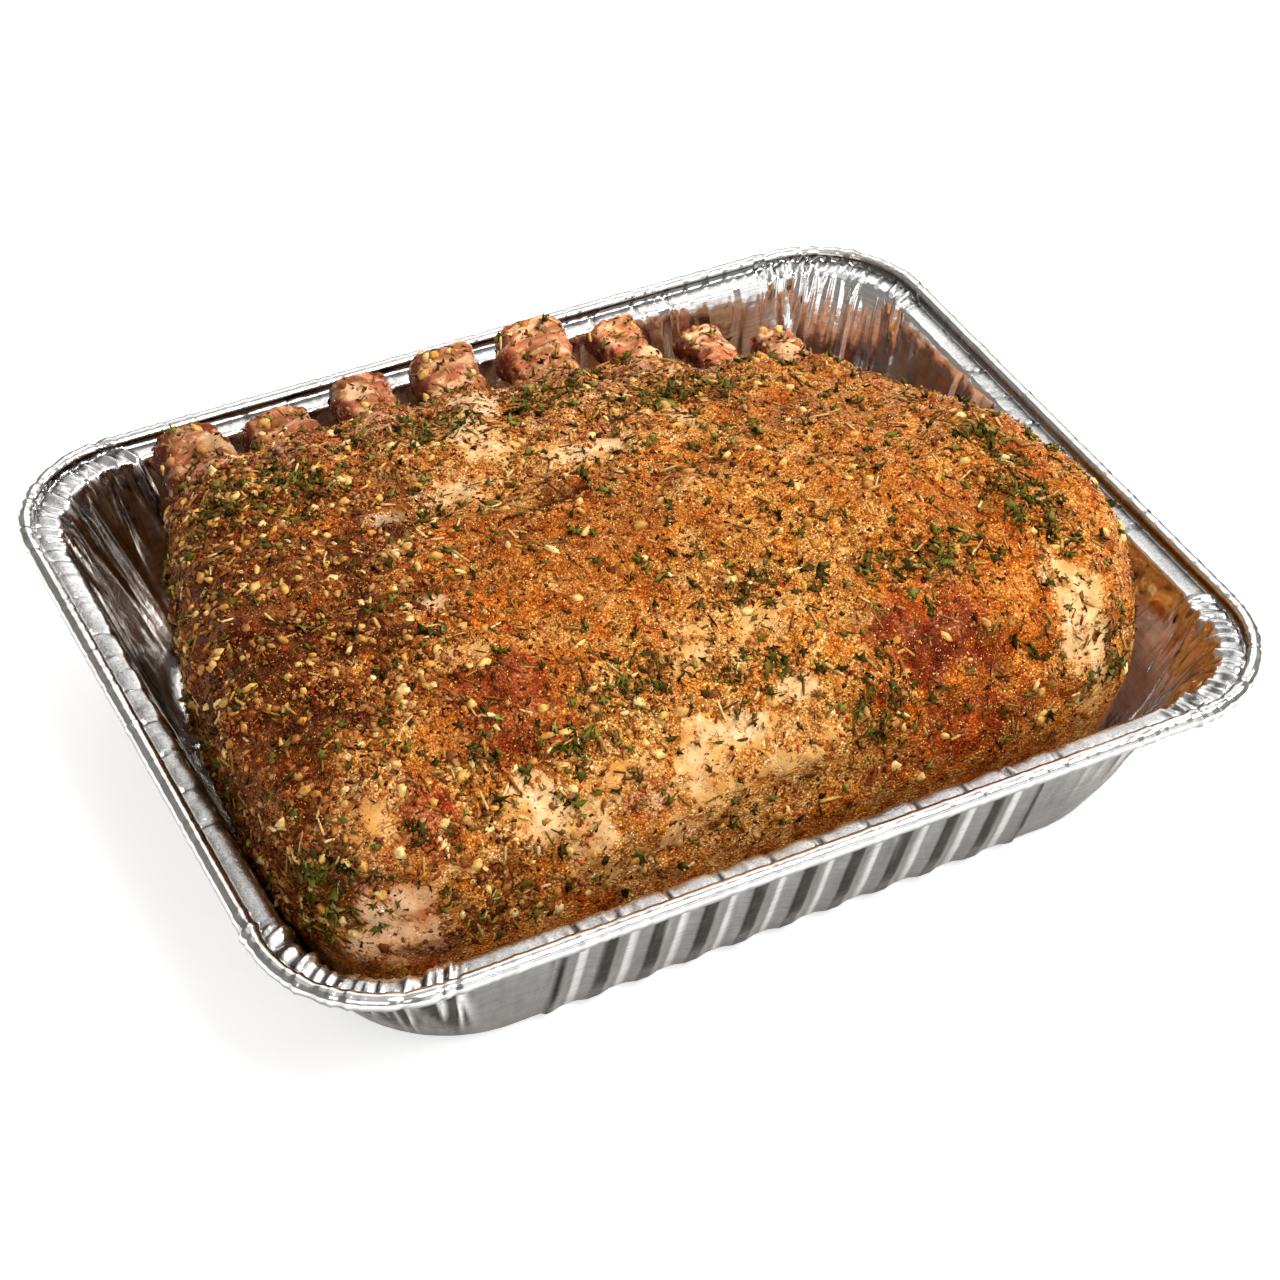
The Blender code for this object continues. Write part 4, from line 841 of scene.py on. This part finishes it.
rib_material = seasoned_finish("rib_meat", 0.18, 0.12)
rib_grids, rib_rub = [], []
for index in range(RIBS):
    rib_points, *rib_places = rib_surface(index)
    rib = skin(f"rib_end_{index + 1}", rib_points, rib_material)
    rib_colour, rubbed = rib_colours(rib_points.reshape(-1, 3), *rib_places, index)
    paint(rib, "stain_and_shade", rib_colour)
    paint(rib, "cover", np.repeat(rubbed[:, None], 3, 1))
    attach(rib, "root")
    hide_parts(f"rib_{index + 1}")
    rib_grids.append(rib_points)
    rib_rub.append(rubbed)

# ---- The rub -------------------------------------------------------------------------------------
# Dried seasoning strewn over the fat by hand and stuck there by its moisture: garlic granules, snips
# of stem and rosemary, parsley flakes, dark leaf, chilli and fine spice. It lies thick on the left
# and along the top, and thin on the pale fat at the front.
RUB_SEED = 5
CLUMPS = (  # parsley and stems gather here: middle and reach in mm
    ((-38, 62, 86), (26, 14, 20)), ((-36, -76, 91), (16, 10, 12)), ((-2, -84, 88), (16, 6, 9)),
    ((2, 62, 84), (20, 11, 20)), ((-136, -92, 66), (14, 14, 22)), ((40, 44, 86), (26, 12, 20)),
    ((104, -58, 92), (12, 22, 18)), ((-88, -84, 88), (7, 8, 12)), ((-95, 55, 84), (30, 15, 20)),
    ((62, -68, 93), (24, 9, 12)), ((108, -96, 60), (12, 10, 12)), ((30, -98, 72), (14, 8, 12)),
    ((108, -30, 93), (8, 18, 18)), ((8, -58, 95), (14, 8, 10)), ((-60, -88, 86), (12, 8, 12)),
)
# Where little of the rub lies: the left corner's bare fat, the fat above it, and the torn pocket.
LEFT_BARE, LOW_FAT = ((-125, -101, 56), (18, 11, 14)), ((-121, -86, 84), (15, 14, 16))
POCKET_BARE = (9, 4)


def surface_places(grids, weights, count, rng):
    """Random places on closed grids, by area times weight: a random point in each picked quad, with
    the quad's normal. Weights are given at the grids' points."""
    corners, share = [], []
    for rings, weight in zip(grids, weights):
        beside = np.roll(rings, -1, 1)
        quad = np.stack([rings[:-1], beside[:-1], beside[1:], rings[1:]], 2).reshape(-1, 4, 3)
        area = np.linalg.norm(np.cross(quad[:, 2] - quad[:, 0], quad[:, 3] - quad[:, 1]), axis=1)
        corners.append(quad)
        share.append(area * weight.reshape(rings.shape[:2])[:-1].ravel())
    corners, share = np.concatenate(corners), np.concatenate(share)
    quad = corners[rng.choice(len(share), count, p=share / share.sum())]
    a, b = rng.random((2, count, 1))
    place = (quad[:, 0] * (1 - a) + quad[:, 1] * a) * (1 - b) + (quad[:, 3] * (1 - a) + quad[:, 2] * a) * b
    normal = np.cross(quad[:, 2] - quad[:, 0], quad[:, 3] - quad[:, 1])
    normal /= np.linalg.norm(normal, axis=1)[:, None] + 1e-12
    normal *= np.sign(np.einsum("ij,ij->i", normal, place - (0, CORE_Y, CORE_Z)))[:, None]
    return place, normal


def strew(name, shapes, faces, size, palette, sink, tilt, places, rng, finish):
    """Joined copies of small closed shapes, each turned to lie on its place: spun about the normal,
    tilted by up to tilt, scaled by its size, and painted from the palette with a little variation."""
    place, normal = places
    count = len(place)
    up = normal + rng.normal(size=(count, 3)) * tilt
    up /= np.linalg.norm(up, axis=1)[:, None]
    side = np.cross(up, rng.normal(size=(count, 3)))
    side /= np.linalg.norm(side, axis=1)[:, None]
    turn = np.stack([side, np.cross(up, side), up], 1)
    local = shapes[rng.integers(len(shapes), size=count)] * size[:, None, :]
    local[..., 2] -= (sink * size[:, 2])[:, None]
    verts = place[:, None] + local @ turn
    each = verts.shape[1]
    tris = (faces[None] + (np.arange(count) * each)[:, None, None]).reshape(-1, 3)
    mesh = bpy.data.meshes.new(name)
    mesh.vertices.add(count * each)
    mesh.vertices.foreach_set("co", verts.astype(np.float32).ravel())
    mesh.loops.add(tris.size)
    mesh.loops.foreach_set("vertex_index", tris.astype(np.int32).ravel())
    mesh.polygons.add(len(tris))
    mesh.polygons.foreach_set("loop_start", np.arange(0, tris.size, 3, dtype=np.int32))
    mesh.update(calc_edges=True)
    mesh.materials.append(finish)
    piece = set_down(name, mesh)
    tone = np.array(palette)[rng.choice(len(palette), count)] ** rng.uniform(0.82, 1.3, (count, 1))
    paint(piece, "tint", np.repeat(np.clip(tone, 0, 1), each, axis=0))
    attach(piece, "root")


def crumbs(kinds, rough, rng):
    """Angular crumbs: a 12-cornered ball of 20 faces with its corners pushed in and out."""
    g = (1 + 5**0.5) / 2
    ball = np.array([(-1, g, 0), (1, g, 0), (-1, -g, 0), (1, -g, 0), (0, -1, g), (0, 1, g),
                     (0, -1, -g), (0, 1, -g), (g, 0, -1), (g, 0, 1), (-g, 0, -1), (-g, 0, 1)])
    ball /= np.linalg.norm(ball[0]) * 2
    faces = np.array([(0, 11, 5), (0, 5, 1), (0, 1, 7), (0, 7, 10), (0, 10, 11), (1, 5, 9), (5, 11, 4),
                      (11, 10, 2), (10, 7, 6), (7, 1, 8), (3, 9, 4), (3, 4, 2), (3, 2, 6), (3, 6, 8),
                      (3, 8, 9), (4, 9, 5), (2, 4, 11), (6, 2, 10), (8, 6, 7), (9, 8, 1)])
    return ball[None] * rng.uniform(1 - rough, 1 + rough, (kinds, 12, 1)), faces


def specks(kinds, rng):
    """The smallest grains: a six-cornered bipyramid of eight faces, pulled about."""
    corner = np.array([(1, 0, 0), (0, 1, 0), (-1, 0, 0), (0, -1, 0), (0, 0, 1), (0, 0, -1)]) / 2
    faces = np.array([(0, 1, 4), (1, 2, 4), (2, 3, 4), (3, 0, 4), (1, 0, 5), (2, 1, 5), (3, 2, 5), (0, 3, 5)])
    return corner[None] * rng.uniform(0.6, 1.3, (kinds, 6, 1)), faces


def straws(kinds, bend, taper, rng):
    """Snips of stem: four-sided rods of four rings, pointed at both ends and bent to one side."""
    rods = ((-0.42, 1.0), (-0.14, 1.0), (0.14, 0.95), (0.42, taper))  # place and thickness of each ring
    around = ((1, 0), (0, 1), (-1, 0), (0, -1))
    rings = [(at, thick * y / 2, thick * z / 2) for at, thick in rods for y, z in around]
    verts = np.array([(-0.5, 0, 0), *rings, (0.5, 0, 0)])[None] + np.zeros((kinds, 1, 1))
    curve = rng.uniform(-bend, bend, (kinds, 2))
    arch = (verts[..., 0] ** 2) * 4
    verts[..., 1] += arch * curve[:, :1]
    verts[..., 2] += arch * np.abs(curve[:, 1:]) * 0.5
    faces = [(0, 1 + (k + 1) % 4, 1 + k) for k in range(4)]
    for ring in range(3):
        for k in range(4):
            a, b = 1 + 4 * ring + k, 1 + 4 * ring + (k + 1) % 4
            faces += [(a, b, b + 4), (a, b + 4, a + 4)]
    faces += [(13 + k, 13 + (k + 1) % 4, 17) for k in range(4)]
    return verts, np.array(faces)


def flakes(kinds, points, crumple, rng, lobes=0.35, plump=0.5):
    """Scraps of leaf or peel: a star of edge points round a middle, every second one drawn in by
    lobes, with a top and a bottom that stand plump apart and an edge crumpled up and down."""
    angle = 2 * math.pi * (np.arange(points) + rng.uniform(-0.3, 0.3, (kinds, points))) / points
    radius = rng.uniform(0.34, 0.60, (kinds, points)) * (1 - lobes * (np.arange(points) % 2))
    rise = rng.uniform(-crumple, crumple, (kinds, points))
    edge = np.stack([radius * np.cos(angle), radius * np.sin(angle), rise], -1)
    middle = rng.uniform(-0.12, 0.12, (kinds, 1, 3))
    verts = np.concatenate([edge, middle + (0, 0, plump), middle - (0, 0, plump)], 1)
    faces = [(k, (k + 1) % points, points) for k in range(points)]
    faces += [((k + 1) % points, k, points + 1) for k in range(points)]
    return verts, np.array(faces)


def rub_finish(name, roughness, wetness, mottle_size, bleed=0.0):
    """One kind of seasoning: its own tint with a fine mottle, wet enough to glint."""
    rub = Finish(name, roughness, Specular_IOR_Level=wetness, Specular_Tint=(1.0, 0.72, 0.45, 1),
                 Subsurface_Weight=bleed, Subsurface_Scale=0.001)
    mottle = rub.ramp(rub.noise(mottle_size, 3), 0.3, 0.7, 0.6, 1.35)
    rub.link(rub.shaded(rub.attribute("tint"), mottle), "Base Color")
    rub.link(rub.bump(rub.noise(mottle_size / 2, 3), 0.2 * MM, 0.6), "Normal")
    return rub.material


loin_flat = loin_points.reshape(-1, 3)
strewn_on = [loin_points] + rib_grids
top_side = ease(loin_flat[:, 2], SHOWN_FROM, 12 * MM)
clump = np.zeros(len(loin_flat))
for middle, reach in CLUMPS:
    clump = np.maximum(clump, patch(loin_flat, middle, reach))
clump *= 0.3 + 0.7 * rub_cover
leftward = ease(-loin_flat[:, 0], 45 * MM, 50 * MM)
backward = ease(loin_flat[:, 1], -5 * MM, 45 * MM) * ease(-loin_flat[:, 0], -95 * MM, 60 * MM)
drifts = smooth(ripple(loin_flat, 11 * MM, 201, 3) * 1.5 + 0.4)
left_bare, low_fat = (patch(loin_flat, *spot) for spot in (LEFT_BARE, LOW_FAT))
hollow = 1 - np.exp(-oval(loin_flat, POCKET, POCKET_BARE))
thick = (1 - 0.95 * left_bare) * (1 - 0.6 * low_fat) * hollow * (0.15 + 0.85 * rub_cover)
thick *= (0.10 + 0.9 * leftward + 0.45 * backward + 0.8 * clump) * (0.2 + drifts)


def on_ribs(strength):
    """How much falls on the rib ends: on their upper side, where the rub covers them."""
    out = []
    for rings, rubbed in zip(rib_grids, rib_rub):
        upward = np.clip(grid_normals(rings).reshape(-1, 3)[:, 2], 0, 1)
        out.append(strength * upward * ease(rings[..., 1].ravel(), 80 * MM, 6 * MM) * (0.30 + rubbed))
    return out


rng = np.random.default_rng(RUB_SEED)
KINDS = 24


def sizes(count, long, wide, thick):
    """Random sizes between each pair of limits, in mm, with more small pieces than large."""
    ranges = np.array([long, wide, thick]) * MM
    return ranges[:, 0] + (ranges[:, 1] - ranges[:, 0]) * rng.random((count, 3)) ** 1.5


def layer(name, shapes, count, limits, palette, sink, tilt, density, ribs, finish):
    """Strews one kind of seasoning: its count, limits of size in mm, colours, how far it sinks in,
    how much it tips, how densely it lies on the loin, and how much of it falls on the ribs."""
    places = surface_places(strewn_on, [density * top_side] + on_ribs(ribs), count, rng)
    strew(name, *shapes, sizes(count, *limits), palette, sink, tilt, places, rng, finish)


glassy = rub_finish("glassy_spice", 0.12, 0.32, 0.8 * MM)
bits = (1 - 0.92 * left_bare) * hollow * (0.2 + 0.8 * rub_cover)
layer("amber_grains", specks(KINDS, rng), 21000, ((0.45, 1.1), (0.4, 1.0), (0.35, 0.9)),
      ((0.60, 0.26, 0.030), (0.73, 0.41, 0.085), (0.43, 0.12, 0.010), (0.27, 0.058, 0.007),
       (0.16, 0.032, 0.005)),
      0.0, 0.6, hollow * (rub_cover * (0.35 + drifts) + 0.4 * thick), 0.3, glassy)
layer("pale_grains", specks(KINDS, rng), 10000, ((0.45, 1.2), (0.4, 1.0), (0.35, 0.9)),
      ((0.80, 0.51, 0.15), (0.73, 0.40, 0.07), (0.88, 0.67, 0.34), (0.62, 0.30, 0.04)),
      0.0, 0.6, bits * (0.25 + 1.1 * drifts) * (1 - 0.7 * leftward), 0.3, glassy)
chopped = rub_finish("chopped_spice", 0.28, 0.13, 0.8 * MM)
layer("dark_grains", specks(KINDS, rng), 4000, ((0.6, 1.7), (0.5, 1.5), (0.4, 1.0)),
      ((0.13, 0.030, 0.007), (0.20, 0.047, 0.008), (0.065, 0.016, 0.006), (0.26, 0.074, 0.010)),
      0.0, 0.5, 0.14 * bits + thick, 0.4, chopped)
layer("brown_bits", flakes(KINDS, 5, 0.6, rng, 0.2, 0.45), 13000, ((1.0, 4.2), (0.7, 2.8), (0.5, 1.5)),
      ((0.24, 0.060, 0.011), (0.13, 0.028, 0.006), (0.33, 0.106, 0.023), (0.074, 0.017, 0.005),
       (0.28, 0.092, 0.021), (0.43, 0.175, 0.052), (0.33, 0.054, 0.010), (0.050, 0.013, 0.005)),
      0.0, 0.5, thick + 0.16 * bits, 0.5, chopped)
layer("onion_crumbs", crumbs(KINDS, 0.3, rng), 1400, ((1.8, 5.0), (1.5, 3.8), (1.0, 2.6)),
      ((0.27, 0.086, 0.019), (0.35, 0.138, 0.035), (0.16, 0.042, 0.009), (0.46, 0.225, 0.068)),
      0.15, 0.4, thick * (0.3 + leftward) + 0.03 * bits, 0.4, chopped)
stalks = rub_finish("herb_stalks", 0.35, 0.14, 0.9 * MM)
layer("pale_stalks", straws(KINDS, 0.16, 0.6, rng), 900, ((2.6, 7.5), (0.7, 1.4), (0.6, 1.1)),
      ((0.58, 0.34, 0.105), (0.46, 0.235, 0.055), (0.34, 0.16, 0.030), (0.72, 0.48, 0.20),
       (0.29, 0.100, 0.020)),
      -0.35, 0.16, 0.09 * thick + 0.07 + 0.25 * clump, 0.35, stalks)
layer("rosemary", straws(KINDS, 0.2, 0.5, rng), 2000, ((2.0, 7.0), (0.45, 0.95), (0.4, 0.8)),
      ((0.13, 0.085, 0.012), (0.19, 0.115, 0.020), (0.090, 0.040, 0.008), (0.18, 0.058, 0.012),
       (0.08, 0.024, 0.007)),
      -0.3, 0.2, 0.28 * thick + 0.13 + 0.6 * clump, 0.4, stalks)
leafy = rub_finish("parsley", 0.34, 0.12, 0.7 * MM)
layer("parsley_leaf", flakes(KINDS, 10, 1.0, rng, 0.6, 0.12), 1500, ((3.0, 8.5), (2.0, 5.4), (1.0, 2.3)),
      ((0.090, 0.084, 0.009), (0.150, 0.140, 0.018), (0.046, 0.040, 0.006), (0.23, 0.20, 0.034),
       (0.120, 0.074, 0.010)),
      -0.35, 0.4, 0.10 + 0.05 * thick + 1.0 * clump**2, 0.3, leafy)
layer("parsley_crumbs", flakes(KINDS, 6, 1.0, rng, 0.5, 0.15), 2200, ((1.2, 3.6), (0.8, 2.4), (0.4, 1.2)),
      ((0.098, 0.080, 0.009), (0.165, 0.130, 0.017), (0.058, 0.038, 0.006), (0.24, 0.18, 0.032)),
      -0.2, 0.4, 0.13 + 0.08 * thick + 0.8 * clump, 0.4, leafy)
layer("dark_leaf", flakes(KINDS, 6, 0.8, rng, 0.4, 0.2), 3600, ((1.2, 4.0), (0.7, 2.3), (0.4, 1.1)),
      ((0.060, 0.020, 0.007), (0.095, 0.030, 0.008), (0.060, 0.042, 0.007), (0.140, 0.042, 0.008)),
      0.0, 0.4, 0.16 + thick + 0.3 * clump, 0.4, leafy)
garlic = rub_finish("garlic_granules", 0.28, 0.20, 1.4 * MM, 0.25)
layer("garlic_granules", crumbs(KINDS, 0.32, rng), 720, ((2.3, 6.0), (1.9, 4.6), (1.4, 3.3)),
      ((0.74, 0.46, 0.140), (0.78, 0.54, 0.21), (0.64, 0.34, 0.075), (0.50, 0.24, 0.056)),
      0.1, 0.3, 0.13 + thick * (0.4 + 0.4 * leftward), 1.3, garlic)
chilli = rub_finish("chilli_flakes", 0.22, 0.35, 0.9 * MM)
layer("chilli_flakes", flakes(KINDS, 6, 0.4, rng), 560, ((1.2, 3.2), (1.0, 2.4), (0.5, 1.0)),
      ((0.55, 0.034, 0.008), (0.38, 0.017, 0.008), (0.68, 0.16, 0.014), (0.76, 0.30, 0.03)),
      -0.2, 0.35, 0.15 + 0.5 * thick + 0.3 * clump, 0.3, chilli)

# ---- Studio --------------------------------------------------------------------------------------
# A pale floor under the tin, broad lights overhead and behind it, a key from the right, and the
# camera at the photograph's angle.
AIM = np.array((6.5, 3.3, 29.3)) * MM
AZIMUTH, ELEVATION, ROLL, DISTANCE, LENS = -27.51, 41.17, 0.823, 0.962, 85.6
FLOOR_HALF, FLOOR_DROP, FLOOR_LINES = 14.0, 0.05 * MM, 9
LAMPS = (  # place, size across and power
    ("window", (0.75, 1.35, 1.35), 1.7, 10.5), ("overhead", (0.30, -0.70, 1.35), 0.8, 15),
    ("key", (1.05, -0.1, 1.25), 0.28, 20), ("fill", (-0.9, -1.1, 0.9), 0.9, 3.6),
    ("front", (0.55, -1.7, 0.55), 1.2, 4), ("sky", (0.05, 0.0, 1.95), 2.2, 5),
)


def floor_sweep():
    """A plain pale floor: one large grid just under the tin's base."""
    side = np.linspace(-FLOOR_HALF, FLOOR_HALF, FLOOR_LINES)
    x, y = np.meshgrid(side, side)
    verts = np.stack([x, y, np.full_like(x, -FLOOR_DROP)], -1).reshape(-1, 3)
    i = np.arange(FLOOR_LINES**2).reshape(FLOOR_LINES, FLOOR_LINES)
    quads = np.stack([i[:-1, :-1], i[:-1, 1:], i[1:, 1:], i[1:, :-1]], -1).reshape(-1, 4)
    mesh = bpy.data.meshes.new("floor")
    mesh.from_pydata(verts.tolist(), [], quads.tolist())
    pale = Finish("pale_floor", 0.75, Base_Color=(0.92, 0.92, 0.92, 1),
                  Emission_Color=(1, 1, 1, 1), Emission_Strength=0.60)
    mesh.materials.append(pale.material)
    set_down("floor", mesh)


def soft_light(name, place, size, power):
    """A square area light that faces the middle of the rack."""
    lamp = bpy.data.lights.new(name, "AREA")
    lamp.energy, lamp.size = power, size
    holder = set_down(name, lamp)
    x, y, z = np.array(place) - AIM
    holder.location = place
    holder.rotation_euler = (math.atan2(math.hypot(x, y), z), 0, math.atan2(x, -y))


def photo_camera():
    """The camera: back from the aim along its azimuth and elevation, with a slight roll."""
    az, el, roll = (math.radians(v) for v in (AZIMUTH, ELEVATION, ROLL))
    back = np.array([math.sin(az) * math.cos(el), -math.cos(az) * math.cos(el), math.sin(el)])
    right = np.array([math.cos(az), math.sin(az), 0])
    up = np.cross(back, right)
    across = right * math.cos(roll) + up * math.sin(roll)
    upright = up * math.cos(roll) - right * math.sin(roll)
    data = bpy.data.cameras.new("photo_camera")
    data.lens, data.clip_start = LENS, 0.01
    camera = set_down("photo_camera", data)
    camera.location = AIM + back * DISTANCE
    camera.rotation_mode = "QUATERNION"
    camera.rotation_quaternion = Matrix(np.stack([across, upright, back], 1).tolist()).to_quaternion()
    bpy.context.scene.camera = camera


floor_sweep()
for lamp_facts in LAMPS:
    soft_light(*lamp_facts)
world = bpy.data.worlds.new("studio")
world.use_nodes = True
backdrop = world.node_tree.nodes["Background"].inputs
backdrop["Color"].default_value, backdrop["Strength"].default_value = (1.0, 0.95, 0.89, 1), 0.25
bpy.context.scene.world = world
bpy.context.scene.view_settings.view_transform = "Standard"
photo_camera()
